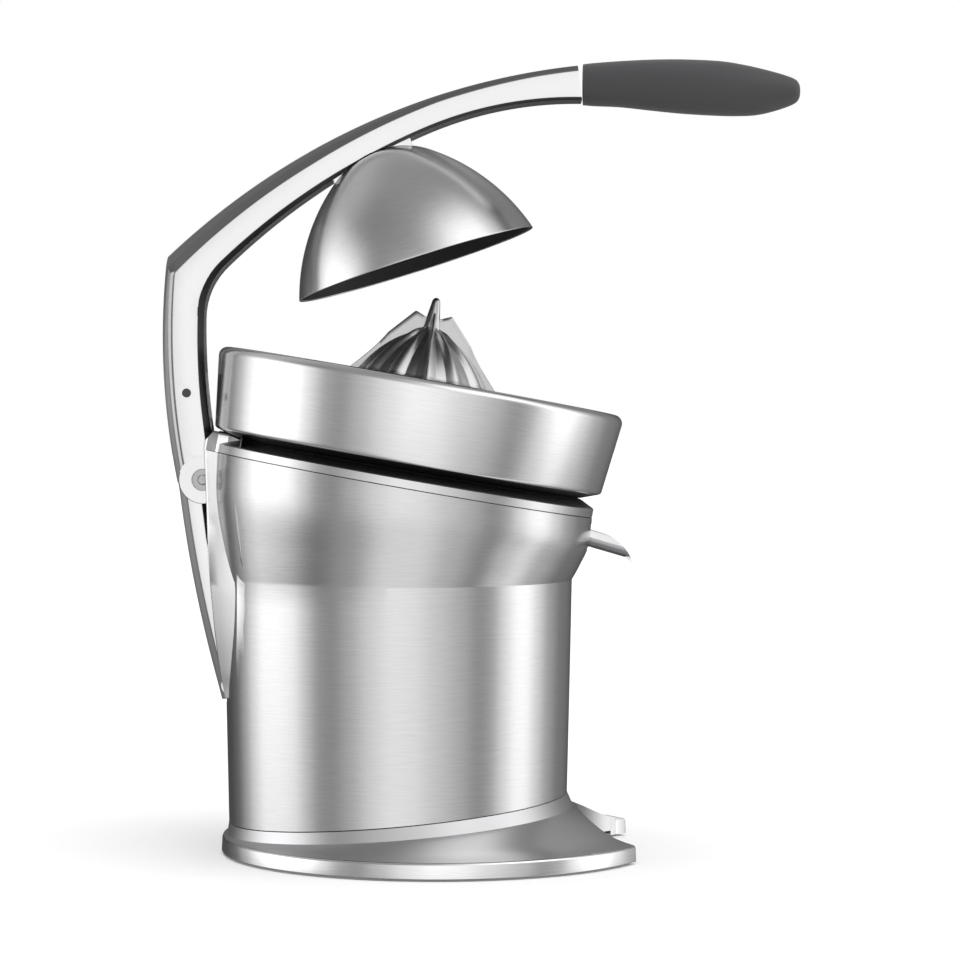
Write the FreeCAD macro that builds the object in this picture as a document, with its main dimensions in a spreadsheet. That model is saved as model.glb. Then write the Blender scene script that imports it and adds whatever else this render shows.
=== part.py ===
import FreeCAD, Part
import math
import os

import Sketcher
from FreeCAD import Placement, Rotation, Vector

# Lever-arm electric citrus press, millimetres, +Z up, +X towards the juice spout.
# The origin is the centre of the round foot, on the surface that it stands on.

doc = FreeCAD.newDocument("citrus_press")
sheet = doc.addObject("Spreadsheet::Sheet", "dims")

# Driving dimensions

SIZES = {
    # the round foot
    "foot_radius": 117.2,
    "foot_gap": 1.2,
    "ring_top": 9.4,
    "recess_radius": 65.4,
    "recess_centre": 139.9,
    "foot_wall": 3.5,
    # the motor housing
    "body_x": -22.1,
    "collar_height": 24.0,
    "collar_radius": 91.5,
    "collar_tilt": 4.9,
    "waist_height": 146.3,
    "waist_radius": 93.8,
    "wall": 2.2,
    # the tilted top: every piece above it leans forward about one axis
    "tilt": 10,
    "deck_x": -18.9,
    "deck_height": 197.4,
    "deck_radius": 103.0,
    "deck_edge": 5.1,
    "seam": 0.3,
    # bowl, strainer and cone, heights along the leaning axis
    "bowl_floor": 9.3,
    "bowl_rim": 56.6,
    "bowl_foot_radius": 105.6,
    "bowl_rim_radius": 110.2,
    "bowl_wall": 1.6,
    "drain_x": 79,
    "cone_tip": 102.3,
    "cone_skirt": 43.5,
    "cone_skirt_radius": 47,
    "spindle_radius": 8,
    "drive_radius": 6,
    # arm, links and their pins, in the plane Y = 0
    "slot_half": 14.2,
    "arm_half": 13.6,
    "cheek_inner": 9.0,
    "lug_outer": 8.7,
    "lug_inner": 5.2,
    "link_half": 4.6,
    "tail_pin_x": -111,
    "tail_pin_z": 90,
    "arm_pin_x": -126.5,
    "arm_pin_z": 200.1,
    "guide_pin_x": -119.8,
    "guide_pin_z": 185.4,
    "link_pin_x": -129,
    "link_pin_z": 229,
    "knuckle_radius": 12.4,
    "running": 0.05,
    # dome
    "dome_x": -12.3,
    "dome_z": 315.9,
    "dome_tilt": -17.58,
    "dome_radius": 66.1,
    "dome_height": 65.3,
    # gear train
    "idler_x": -37.5,
    "gear_module": 1.5,
    "wheel_module": 1.2,
    "motor_x": -30.36,
    "motor_y": 26.66,
    "motor_radius": 27.5,
    "shaft_radius": 3,
}

for row, (name, value) in enumerate(SIZES.items(), 1):
    sheet.set(f"A{row}", name)
    sheet.set(f"B{row}", str(value))
    sheet.setAlias(f"B{row}", name)
doc.recompute()


class Linked(float):
    """A number that remembers the sheet formula it was worked out from."""

    def __new__(cls, value, formula):
        number = super().__new__(cls, value)
        number.formula = formula
        return number

    def __add__(self, other):
        return Linked(float(self) + float(other), f"({self.formula} + {formula_of(other)})")

    def __radd__(self, other):
        return Linked(float(other) + float(self), f"({formula_of(other)} + {self.formula})")

    def __sub__(self, other):
        return Linked(float(self) - float(other), f"({self.formula} - {formula_of(other)})")

    def __rsub__(self, other):
        return Linked(float(other) - float(self), f"({formula_of(other)} - {self.formula})")

    def __mul__(self, other):
        return Linked(float(self) * float(other), f"({self.formula} * {formula_of(other)})")

    __rmul__ = __mul__

    def __truediv__(self, other):
        return Linked(float(self) / float(other), f"({self.formula} / {formula_of(other)})")

    def __neg__(self):
        return Linked(-float(self), f"(-{self.formula})")


class Dims:
    """Reads one driving dimension by name."""

    def __getattr__(self, name):
        return Linked(SIZES[name], f"dims.{name}")


def formula_of(number):
    return number.formula if isinstance(number, Linked) else repr(float(number))


def bind(thing, path, number):
    if isinstance(number, Linked):
        thing.setExpression(path, number.formula)


d = Dims()
nodes = []

# Where each group of pieces stands

UPRIGHT = (0, 0, 0)
LEANING = (d.deck_x, d.deck_height, d.tilt)
DOME = (d.dome_x, d.dome_z, d.dome_tilt)


def place(thing, frame):
    """Stands a piece at x, z and turns it about the Y direction."""
    x, z, turn = frame
    thing.Placement = Placement(Vector(x, 0, z), Rotation(Vector(0, 1, 0), float(turn)))
    bind(thing, "Placement.Base.x", x)
    bind(thing, "Placement.Base.z", z)
    bind(thing, "Placement.Rotation.Angle", turn)


def new_body(label, frame=UPRIGHT, keep=True):
    body = doc.addObject("PartDesign::Body", label)
    body.Label = label
    place(body, frame)
    if keep:
        nodes.append(body)
    return body


def sketch_on(body, role, x=0, y=0, z=0, turn=0, spin=0):
    """An empty sketch on one of the body's own planes, shifted in that plane's own directions.

    It is turned about its upright direction, or spun in its plane.
    """
    sketch = body.newObject("Sketcher::SketchObject", body.Name + "_outline")
    plane = next(part for part in body.Origin.OriginFeatures if part.Role == role)
    sketch.AttachmentSupport = [(plane, "")]
    sketch.MapMode = "FlatFace"
    axis = Vector(0, 0, 1) if spin else Vector(0, 1, 0)
    angle = spin or turn
    sketch.AttachmentOffset = Placement(Vector(x, y, z), Rotation(axis, float(angle)))
    bind(sketch, "AttachmentOffset.Base.x", x)
    bind(sketch, "AttachmentOffset.Base.y", y)
    bind(sketch, "AttachmentOffset.Base.z", z)
    bind(sketch, "AttachmentOffset.Rotation.Angle", angle)
    return sketch


def fix(sketch, kind, *where):
    """Adds one constraint and links its size to the sheet."""
    index = sketch.addConstraint(Sketcher.Constraint(kind, *where[:-1], float(where[-1])))
    bind(sketch, f"Constraints[{index}]", where[-1])


def add_circle(sketch, x, y, radius):
    index = sketch.addGeometry(Part.Circle(Vector(x, y, 0), Vector(0, 0, 1), float(radius)), False)
    fix(sketch, "DistanceX", -1, 1, index, 3, x)
    fix(sketch, "DistanceY", -1, 1, index, 3, y)
    fix(sketch, "Radius", index, radius)


def arc_edge(start, end, radius):
    """The shorter arc from start to end; a positive radius turns counter-clockwise."""
    half = (end - start) * 0.5
    side = math.copysign(math.sqrt(float(radius) ** 2 - half.Length ** 2), radius)
    left = Vector(-half.y, half.x, 0).normalize()
    centre = start + half + left * side
    circle = Part.Circle(centre, Vector(0, 0, 1), abs(float(radius)))
    first, last = (start, end) if radius > 0 else (end, start)
    angles = [math.atan2(p.y - centre.y, p.x - centre.x) for p in (first, last)]
    if angles[1] <= angles[0]:
        angles[1] += 2 * math.pi
    return Part.ArcOfCircle(circle, angles[0], angles[1])


def add_outline(sketch, points):
    """Closed outline. A third number at a point makes the way to it an arc of that radius."""
    first_index = sketch.GeometryCount
    ends = []
    for here, there in zip(points, points[1:] + points[:1]):
        start = Vector(here[0], here[1], 0)
        end = Vector(there[0], there[1], 0)
        if len(there) == 3:
            index = sketch.addGeometry(arc_edge(start, end, there[2]), False)
            fix(sketch, "Radius", index, abs(there[2]) if there[2] > 0 else -there[2])
            ends.append((1, 2) if there[2] > 0 else (2, 1))
        else:
            sketch.addGeometry(Part.LineSegment(start, end), False)
            ends.append((1, 2))
    count = len(points)
    for step, point in enumerate(points):
        index = first_index + step
        before = first_index + (step - 1) % count
        sketch.addConstraint(Sketcher.Constraint("Coincident", before, ends[step - 1][1],
                                                 index, ends[step][0]))
        fix(sketch, "DistanceX", -1, 1, index, ends[step][0], point[0])
        fix(sketch, "DistanceY", -1, 1, index, ends[step][0], point[1])


def feature(body, kind, sketch, **settings):
    made = body.newObject("PartDesign::" + kind, f"{body.Name}_{kind}")
    made.Profile = sketch
    made.Refine = False
    for name, number in settings.items():
        setattr(made, name, float(number) if isinstance(number, Linked) else number)
        bind(made, name, number)
    sketch.Visibility = False
    body.Tip = made
    return made


def turn_profile(body, points, kind="Revolution", x=0, y=0):
    """Turns an outline in the body's XZ plane once about an upright axis at x, y."""
    sketch = sketch_on(body, "XZ_Plane", x=x, z=-y)
    add_outline(sketch, points)
    return feature(body, kind, sketch, ReferenceAxis=(sketch, ["V_Axis"]), Angle=360.0)


def side_pad(body, points, half, kind="Pad", **where):
    """Pads or pockets an outline in the XZ plane to both sides by half."""
    sketch = sketch_on(body, "XZ_Plane", **where)
    add_outline(sketch, points)
    return feature(body, kind, sketch, SideType="Symmetric", Length=half * 2)


def side_disc(body, x, z, radius, half, kind="Pad"):
    sketch = sketch_on(body, "XZ_Plane")
    add_circle(sketch, x, z, radius)
    return feature(body, kind, sketch, SideType="Symmetric", Length=half * 2)


def side_hole(body, x, z, radius, half):
    return side_disc(body, x, z, radius, half, "Pocket")


def disc(body, radius, low, high, x=0, y=0):
    """A round pad between two heights of the body's own frame."""
    sketch = sketch_on(body, "XY_Plane", z=low)
    add_circle(sketch, x, y, radius)
    return feature(body, "Pad", sketch, Length=high - low)


def hole(body, radius, low, high, x=0, y=0):
    sketch = sketch_on(body, "XY_Plane", z=high)
    add_circle(sketch, x, y, radius)
    return feature(body, "Pocket", sketch, Length=high - low)


def slab(body, points, low, high):
    """A flat pad of any outline between two heights."""
    sketch = sketch_on(body, "XY_Plane", z=low)
    add_outline(sketch, points)
    return feature(body, "Pad", sketch, Length=high - low)


def slab_cut(body, points, low, high):
    sketch = sketch_on(body, "XY_Plane", z=high)
    add_outline(sketch, points)
    return feature(body, "Pocket", sketch, Length=high - low)


def around(body, made, count, axis="N_Axis"):
    """Repeats a feature evenly about one of its own sketch's axes."""
    pattern = body.newObject("PartDesign::PolarPattern", body.Name + "_pattern")
    pattern.Originals = [made]
    pattern.Axis = (made.Profile[0], [axis])
    pattern.Angle = 360.0
    pattern.Occurrences = count
    body.Tip = pattern
    return pattern


def rectangle(x0, y0, x1, y1):
    return [(x0, y0), (x1, y0), (x1, y1), (x0, y1)]


def loft(body, sketches, kind="AdditiveLoft", ruled=False):
    return feature(body, kind, sketches[0], Sections=list(sketches[1:]), Ruled=ruled)


def level_circle(body, radius, x=0, z=0, turn=0):
    sketch = sketch_on(body, "XY_Plane", x=x, z=z, turn=turn)
    add_circle(sketch, 0, 0, radius)
    return sketch


def turned(label, points, frame=LEANING, x=0, y=0):
    """A round piece turned from one outline."""
    body = new_body(label, frame)
    turn_profile(body, points, x=x, y=y)
    return body


def bush(label, inner, outer, low, high, frame=LEANING, x=0, y=0):
    return turned(label, rectangle(inner, low, outer, high), frame, x, y)


def cross_pin(label, x, z, radius, half):
    """A plain pin along Y, centred on the middle plane."""
    body = new_body(label)
    side_disc(body, x, z, radius, half)
    return body


# The foot

RECESS = (d.recess_centre, 0)
FOOT_SCREWS = [(x, y * side) for x, y in ((-50, 70), (30, 75)) for side in (1, -1)]
FOOT_PADS = [(0, 0)] + [(65 * a, 65 * b) for a in (1, -1) for b in (1, -1)]
GLAND_X = -80


def post(name, x, y, radius, low, high):
    cylinder = doc.addObject("Part::Cylinder", name)
    cylinder.Radius = float(radius)
    cylinder.Height = float(high - low)
    cylinder.Placement.Base = Vector(x, y, low)
    bind(cylinder, "Radius", radius)
    bind(cylinder, "Height", high - low)
    bind(cylinder, "Placement.Base.x", x)
    bind(cylinder, "Placement.Base.z", low)
    return cylinder


def cut(label, base, tool, keep=False):
    made = doc.addObject("Part::Cut", label)
    made.Label = label
    made.Base = base
    made.Tool = tool
    made.Refine = False
    if keep:
        nodes.append(made)
    return made


def join(label, pieces, keep=False):
    made = doc.addObject("Part::MultiFuse", label)
    made.Label = label
    made.Shapes = pieces
    made.Refine = False
    if keep:
        nodes.append(made)
    return made


def make_foot_casting():
    """Flared hollow casting; a tall glass stands in the crescent cut through its front."""
    shell = new_body("foot_shell", keep=False)
    collar = level_circle(shell, d.collar_radius, d.body_x, d.collar_height - d.seam / 2,
                          -d.collar_tilt)
    crease = level_circle(shell, 93.5, -21, 17.4, -4.4)
    loft(shell, [collar, crease], ruled=True)
    crease = level_circle(shell, 93.5, -21, 17.4, -4.4)
    sweep = level_circle(shell, 106.8, -9, 11.9, -1.1)
    edge = level_circle(shell, d.foot_radius - 0.8, 0, d.ring_top + 0.1)
    loft(shell, [crease, sweep, edge])
    disc(shell, d.foot_radius - 7.6, d.foot_gap, d.ring_top + 0.1)

    core = new_body("foot_core", keep=False)
    disc(core, d.foot_radius - 11.1, d.foot_gap - 3, 7)
    wide = level_circle(core, d.foot_radius - 11.1, 0, 7)
    middle = level_circle(core, 90, -19, 13.5, -2.5)
    narrow = level_circle(core, 86, d.body_x, 17.5, -2)
    loft(core, [wide, middle, narrow], ruled=True)

    recess = post("recess", d.recess_centre, 0, d.recess_radius, -5, 45)
    backed = post("recess_wall", d.recess_centre, 0, d.recess_radius + d.foot_wall, -5, 45)
    hollow = cut("foot_hollow", cut("foot_outside", shell, recess), cut("foot_inside", core, backed))
    posts = [post("screw_post", x, y, 4.5, 3.7, 19.9) for x, y in FOOT_SCREWS]
    pilots = [post("screw_pilot", x, y, 1.55, 3, 13) for x, y in FOOT_SCREWS]
    cut("foot_casting", join("foot_posted", [hollow] + posts), join("foot_pilots", pilots), keep=True)


def make_base_ring():
    """Bright band round the foot, open where the glass recess runs out."""
    ring = turned("base_ring", [(d.foot_radius - 7.5, d.foot_gap), (d.foot_radius, d.foot_gap),
                                (d.foot_radius - 0.7, d.ring_top - 0.6),
                                (d.foot_radius - 1.4, d.ring_top),
                                (d.foot_radius - 7.5, d.ring_top)], UPRIGHT)
    hole(ring, d.recess_radius, 0, 20, *RECESS)


def make_base_plate():
    plate = new_body("base_plate")
    disc(plate, d.foot_radius - 11.4, 1.5, 3.5)
    hole(plate, d.recess_radius + d.foot_wall + 0.3, 0, 5, *RECESS)
    hole(plate, 6.1, 0, 5, GLAND_X)
    for x, y in FOOT_SCREWS:
        hole(plate, 1.7, 0, 5, x, y)


def make_foot_fittings():
    join("rubber_feet", [post("foot_pad", x, y, 8, 0, 1.5) for x, y in FOOT_PADS], keep=True)
    shanks = [post("base_screw", x, y, 1.5, 1.4, 12) for x, y in FOOT_SCREWS]
    heads = [post("base_screw_head", x, y, 3, 0.5, 1.45) for x, y in FOOT_SCREWS]
    join("base_screws", shanks + heads, keep=True)
    gland = new_body("cord_gland", (GLAND_X, 0, 0))
    turn_profile(gland, [(3.3, 0.6), (7.5, 0.6), (7.5, 1.45), (6, 1.45), (6, 3.6), (7.8, 3.6),
                         (7.8, 5.5), (5, 7.5), (3.3, 7.5)])


# The motor housing with its rear pillar

SLOT = [(-101.5, 80.5), (-101.5, 199), (-113.5, 207), (-119.5, 212.5), (-119.5, 235), (-140, 235),
        (-140, 80.5)]
DECK_SCREWS = [(94 * math.cos(a), 94 * math.sin(a)) for a in map(math.radians, (75, 285, 135, 225))]
GEARBOX_SCREWS = [(37, 0), (-31, -28.5), (-8, 36)]
SPOUT_FRAME = (73, 166.1, 16.3)
SPOUT_HOLE = (2.2, 7.4)
SPOUT_PIN = (77.19, 172.59)


def wall_rings(body, less):
    """Circles of the round wall: foot, waist, two in the swell, and the leaning top."""
    low = level_circle(body, d.collar_radius - less, d.body_x, d.collar_height + d.seam / 2,
                       -d.collar_tilt)
    waist = level_circle(body, d.waist_radius - less, d.body_x, d.waist_height)
    swell = level_circle(body, 97.4 - less, -21.2, 160.2, 3.6)
    shoulder = level_circle(body, 101.9 - less, -19.9, 179, 7.6)
    top = level_circle(body, d.deck_radius - less, d.deck_x, d.deck_height, d.tilt)
    return [low, waist, swell, shoulder, top]


def boat_tail(back, side, half):
    """Plan of the pillar at one height, from its back edge to where it meets the round wall."""
    one = [(-80, 30), (side, half), (back, 16)]
    return [(x, -y) for x, y in one] + list(reversed(one))


def wall_inside():
    inside = new_body("housing_inside", keep=False)
    loft(inside, wall_rings(inside, d.wall), ruled=True)
    return inside


def slot_room():
    room = new_body("slot_room", keep=False)
    side_pad(room, SLOT, d.slot_half)
    return room


def make_motor_housing():
    outside = new_body("housing_outside", keep=False)
    rings = wall_rings(outside, 0)
    loft(outside, rings[:2], ruled=True)
    loft(outside, rings[1:])
    wall = cut("slotted_wall", cut("housing_wall", outside, wall_inside()), slot_room())
    pillar = new_body("housing_pillar", keep=False)
    sections = []
    for z, back, side, half in ((84, -114.2, -110.3, 25), (99, -117.2, -107, 35),
                                (118.5, -119.9, -105.5, 41.5), (150, -122.8, -105.3, 44.5),
                                (185, -124.3, -109, 50)):
        sketch = sketch_on(pillar, "XY_Plane", z=z)
        add_outline(sketch, boat_tail(back, side, half))
        sections.append(sketch)
    sketch = sketch_on(pillar, "XY_Plane", x=d.deck_x, z=d.deck_height, turn=d.tilt)
    add_outline(sketch, boat_tail(-108, -93.7, 42.5))
    loft(pillar, sections + [sketch], ruled=True)
    tail = cut("hollow_pillar", cut("slotted_pillar", pillar, slot_room()), wall_inside())
    # walls of the slot that the arm's links swing in
    box = new_body("slot_box", keep=False)
    side_pad(box, [(-97, 78), (-97, 210.8), (-121.2, 215.1), (-112.8, 78)], d.slot_half + 3)
    side_pad(box, SLOT, d.slot_half, "Pocket")
    body = new_body("motor_housing")
    body.BaseFeature = join("housing_walls", [wall, box, tail])
    side_hole(body, d.tail_pin_x, d.tail_pin_z, d.shaft_radius + 0.03, 20)
    side_hole(body, d.guide_pin_x, d.guide_pin_z, 2.53, 17.05)
    # ears that carry the spout, and its opening in the front wall
    side_pad(body, rectangle(68, 163.5, 79.6, 177.5), 14.6)
    side_pad(body, rectangle(60, 161.8, 95, 176.4), 11.6, "Pocket")
    side_hole(body, *SPOUT_PIN, 1.53, 14.2)
    # lugs under the deck
    for x, y in DECK_SCREWS:
        sketch = sketch_on(body, "XY_Plane", x=d.deck_x, z=d.deck_height, turn=d.tilt)
        add_circle(sketch, x, y, 7.6)
        feature(body, "Pad", sketch, Length=8.0, Reversed=True)
    sketch = sketch_on(body, "XY_Plane", x=d.deck_x, z=d.deck_height, turn=d.tilt)
    for x, y in DECK_SCREWS:
        add_circle(sketch, x, y, 2)
    feature(body, "Pocket", sketch, Length=9.0)


def make_top_deck():
    """Leaning lid of the housing: bearing hub, well for the bowl and two rear shoulders."""
    deck = turned("top_deck", [(15.05, -6), (22, -6), (22, d.seam), (d.deck_radius, d.seam),
                               (d.deck_radius, d.deck_edge), (95.3, 8.7), (95.3, 3), (24, 3),
                               (22, 8.8), (15.05, 8.8)])
    slab(deck, boat_tail(-108.6, -93.7, 42.5), d.seam, 11)
    turn_profile(deck, [(70, 3), (95.3, 3), (95.3, 8.7), (107, 13.3), (107, 20), (70, 20)], "Groove")
    side_pad(deck, [(-112, 4.7), (-108.7, 4.7), (-104.5, 10.9), (-104.5, 14), (-112, 14)], 60, "Pocket")
    slab_cut(deck, rectangle(-115, -14.2, -102.2, 14.2), -1, 12)
    for x, y in GEARBOX_SCREWS:
        disc(deck, 5, -6, 0.5, x, y)
        hole(deck, 1.6, -6, -1, x, y)
    for x, y in DECK_SCREWS:
        hole(deck, 1.95, 0, 2.6, x, y)
    hole(deck, 6.9, -1, 5, d.drain_x)


def make_bowl_seal():
    seal = bush("bowl_seal", 88, 95.1, 3.05, 7.4)
    turn_profile(seal, [(88, 7), (95.1, 7), (93.6, 9.1), (89.5, 9.1)])


# Bowl, strainer and reamer

CONE_TURN = 4


def make_bowl():
    bowl = turned("juice_bowl", [(9, d.bowl_floor), (94.5, d.bowl_floor), (103.6, 13.4),
                                 (d.bowl_foot_radius + 0.3, 16.6, 3.4), (d.bowl_rim_radius, 52),
                                 (105.8, d.bowl_rim, 4.7), (105.8, 55), (108.5, 51.8, -3.1),
                                 (104.1, 16.6),
                                 (94, d.bowl_floor + d.bowl_wall), (11.2, d.bowl_floor + d.bowl_wall),
                                 (11.2, 47), (9, 47)])
    disc(bowl, 6.2, -3, d.bowl_floor + 0.5, d.drain_x)
    hole(bowl, 5, -4, 13, d.drain_x)


def make_strainer():
    basket = turned("strainer_basket", [(11.8, 11.2), (13.4, 11.2), (13.4, 36), (92, 36), (101, 46.8),
                                        (104, 46.8), (104, 48.4), (100.2, 48.4), (91.2, 37.6),
                                        (13.4, 37.6), (13.4, 49), (11.8, 49)])
    sketch = sketch_on(basket, "XY_Plane", z=39)
    add_outline(sketch, rectangle(34, -1.1, 84, 1.1))
    around(basket, feature(basket, "Pocket", sketch, Length=5.0), 30)


def make_reamer():
    """Hollow cone with twelve ribs, four tall fins and a pointed finial."""
    cone = turned("reamer_cone", [(0, d.cone_tip), (1.1, d.cone_tip), (2, 100.8), (3.3, 90.3),
                                  (4.8, 84.3), (11.2, 79.9, -14), (32, 58.4, -70), (44.8, 45.6),
                                  (d.cone_skirt_radius, 45), (d.cone_skirt_radius, d.cone_skirt),
                                  (42.6, d.cone_skirt), (30, 55.8), (15.5, 70), (12.4, 71.5), (12.4, 52),
                                  (9.1, 52), (9.1, 74.5), (0, 74.5)])
    blades(cone, [(4, 83), (5.6, 85.3), (12.9, 81.6, -14), (34.6, 59.2, -72), (46.2, 45.2),
                  (43, 45.2), (31, 58), (10, 78)], 2.2, 12)
    blades(cone, [(2.2, 90), (3.3, 90.9), (9.9, 93.7), (22.7, 79.6), (32.4, 66.1, 90), (46.8, 50),
                  (46.8, 45.2), (30, 58), (5, 82)], 1.7, 4)
    hub = new_body("cone_hub", LEANING)
    disc(hub, 9.05, 50.5, 74.4)
    bore = 6.15
    flat = 4.7
    edge = math.sqrt(bore ** 2 - flat ** 2)
    slab_cut(hub, [(edge, -flat), (edge, flat, bore), (-edge, flat), (-edge, -flat, bore)], 50, 67.4)


def blades(body, points, thickness, count):
    """Upright blades of one outline, repeated round the body's axis."""
    sketch = sketch_on(body, "XZ_Plane", turn=CONE_TURN)
    add_outline(sketch, points)
    made = feature(body, "Pad", sketch, SideType="Symmetric", Length=thickness)
    around(body, made, count, "V_Axis")


# Drive: motor, two gear steps and the spindle under the cone

IDLER = (d.idler_x, 0)
MOTOR = (d.motor_x, d.motor_y)
OUTPUT_TEETH = 36
IDLER_TEETH = 14
WHEEL_TEETH = 34
PINION_TEETH = 12
BACKLASH = 0.09
REACH = math.atan2(MOTOR[1], MOTOR[0] - IDLER[0])


def tooth_outline(teeth, module, phase):
    """One involute gear tooth, four points a side."""
    pitch = module * teeth / 2
    base = pitch * math.cos(math.radians(20))
    root = pitch - 1.25 * module
    tip = pitch + 0.92 * module

    def roll(radius):
        angle = math.acos(min(1, base / radius))
        return math.tan(angle) - angle

    def half_angle(radius):
        return math.pi / (2 * teeth) - BACKLASH / pitch + roll(pitch) - roll(radius)

    lowest = max(root, base)
    side = [(root - 0.5, half_angle(lowest))]
    side += [(radius, half_angle(radius)) for radius in (lowest, pitch, tip)]
    corners = [(radius, -angle) for radius, angle in side]
    corners += [(radius, angle) for radius, angle in reversed(side)]
    return [(radius * math.cos(angle + phase), radius * math.sin(angle + phase))
            for radius, angle in corners]


def add_gear(body, teeth, module, low, high, x=0, y=0, phase=0.0):
    """A toothed wheel on the body between two heights; a tooth points along phase."""
    disc(body, module * teeth / 2 - 1.25 * module, low, high, x, y)
    sketch = sketch_on(body, "XY_Plane", x=x, y=y, z=low)
    add_outline(sketch, tooth_outline(teeth, float(module), phase))
    around(body, feature(body, "Pad", sketch, Length=float(high - low)), teeth)


def make_spindle():
    spindle = turned("drive_spindle", [(0, -38.5), (d.spindle_radius, -38.5), (d.spindle_radius, 10.6),
                                       (d.drive_radius, 12.6), (d.drive_radius, 66), (5, 67.2),
                                       (0, 67.2)])
    for side in (1, -1):
        slab_cut(spindle, rectangle(-8, 4.6 * side, 8, 8 * side)[::side], 49, 69)
    gear = new_body("output_gear", LEANING)
    disc(gear, 13, -21, -9.5)
    add_gear(gear, OUTPUT_TEETH, d.gear_module, -19, -11)
    hole(gear, d.spindle_radius + 0.02, -22, -9)
    bush("upper_bearing", d.spindle_radius + 0.05, 15, -6, 3.9)
    turned("shaft_seal", [(8.3, 4), (15, 4), (15, 8.6), (11, 8.6), (8.1, 6.8), (8.1, 6), (10.5, 6.5),
                          (10.5, 5.2), (8.3, 5.2)])
    bush("lower_bearing", d.spindle_radius + 0.05, 12.5, -38, -28.2)
    turned("thrust_washer", [(0, -40.4), (7.5, -40.4), (7.5, -39.2), (3, -38.6), (0, -38.6)])


def make_idler():
    gear = new_body("idler_gear", LEANING)
    disc(gear, 6.5, -31.5, -9.6, *IDLER)
    add_gear(gear, IDLER_TEETH, d.gear_module, -20, -10, *IDLER, phase=math.pi / IDLER_TEETH)
    add_gear(gear, WHEEL_TEETH, d.wheel_module, -31, -23, *IDLER, phase=REACH)
    hole(gear, d.shaft_radius + 0.05, -33, -9, *IDLER)
    bush("idler_shaft", 0, d.shaft_radius, -42, -7, x=d.idler_x)


def make_motor():
    pinion = new_body("motor_pinion", LEANING)
    add_gear(pinion, PINION_TEETH, d.wheel_module, -32, -22, *MOTOR,
             phase=REACH + math.pi + math.pi / PINION_TEETH)
    hole(pinion, d.shaft_radius + 0.02, -33, -21, *MOTOR)
    bush("rotor_shaft", 0, d.shaft_radius, -102.9, -21.5, x=MOTOR[0], y=MOTOR[1])
    bush("rotor_core", d.shaft_radius + 0.02, 15, -88, -56, x=MOTOR[0], y=MOTOR[1])
    bush("stator_core", 15.6, d.motor_radius - 1.8, -90, -54, x=MOTOR[0], y=MOTOR[1])
    wall = d.motor_radius - 1.7
    turned("motor_can", [(5.05, -103), (d.motor_radius, -103), (d.motor_radius, -43.2), (wall, -43.2),
                         (wall, -101.4), (5.05, -101.4)], x=MOTOR[0], y=MOTOR[1])
    bush("motor_cover", 7.05, d.motor_radius - 1.75, -46.2, -43.3, x=MOTOR[0], y=MOTOR[1])
    bushes = new_body("motor_bushes", LEANING)
    turn_profile(bushes, rectangle(d.shaft_radius + 0.05, -48, 7, -43.3), x=MOTOR[0], y=MOTOR[1])
    turn_profile(bushes, rectangle(d.shaft_radius + 0.05, -103, 5, -97), x=MOTOR[0], y=MOTOR[1])


def make_gearbox():
    case = new_body("gearbox_case", LEANING)
    rooms = ((33, (0, 0)), (25, IDLER), (13, MOTOR))
    for radius, where in rooms:
        disc(case, radius, -43, -9, *where)
    for x, y in GEARBOX_SCREWS:
        disc(case, 6.5, -14, -9, x, y)
    for radius, where in rooms:
        hole(case, radius - 2, -40, -8, *where)
    disc(case, 15, -40.5, -28)
    disc(case, 12, -50, -42)
    hole(case, 8.2, -48, -27)
    hole(case, 12.55, -38.05, -27)
    hole(case, d.shaft_radius + 0.02, -42.1, -39, *IDLER)
    hole(case, 4.2, -44, -39, *MOTOR)
    hole(case, 1.7, -51, -47)
    lid = new_body("gearbox_lid", LEANING)
    for radius, where in rooms:
        disc(lid, radius, -8.9, -6.1, *where)
    for x, y in GEARBOX_SCREWS:
        disc(lid, 6.5, -8.9, -6.1, x, y)
    hole(lid, 8.8, -10, -6)
    hole(lid, d.shaft_radius + 0.02, -9, -7, *IDLER)
    for x, y in GEARBOX_SCREWS:
        hole(case, 1.75, -15, -8, x, y)
        hole(lid, 1.75, -10, -6, x, y)


def make_fasteners():
    """Screws that hang gearbox and deck in the leaning frame, each a turned solid."""
    gearbox = new_body("gearbox_screws", LEANING)
    for x, y in GEARBOX_SCREWS:
        turn_profile(gearbox, [(0, -16.6), (3, -16.6), (3.2, -14.1), (1.55, -14.1), (1.55, -2),
                               (0, -2)], x=x, y=y)
    deck = new_body("deck_screws", LEANING)
    for x, y in DECK_SCREWS:
        turn_profile(deck, [(0, -10.4), (3.2, -10.4), (3.4, -8.1), (1.9, -8.1), (1.9, 2.4), (0, 2.4)],
                     x=x, y=y)


def make_start_switch():
    """Leaf springs under the spindle and the small switch that it presses."""
    springs = new_body("thrust_springs", LEANING)
    for step in range(3):
        low = -47.9 + 2.46 * step
        rise = 1.5 if step % 2 == 0 else -1.5
        turn_profile(springs, [(3.2, low + max(0, -rise)), (7.8, low + max(0, rise)),
                               (7.8, low + max(0, rise) + 0.8), (3.2, low + max(0, -rise) + 0.8)])
    switch = new_body("start_switch", LEANING)
    slab(switch, rectangle(-6, -3.2, 14, 3.2), -62, -50.1)
    hole(switch, 1.7, -57, -50)
    turned("switch_plunger", [(0, -54), (1.4, -54), (1.4, -41), (0.8, -40.5), (0, -40.5)])


# Juice way

def make_juice_funnel():
    funnel = new_body("juice_funnel", LEANING)
    disc(funnel, 10, -13, 0, d.drain_x)
    slab(funnel, rectangle(d.drain_x, -6.2, 98.2, 6.2), -11.5, -6)
    hole(funnel, 8, -12, 1, d.drain_x)
    slab_cut(funnel, rectangle(d.drain_x, -5, 101, 5), -10.5, -7)


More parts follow.
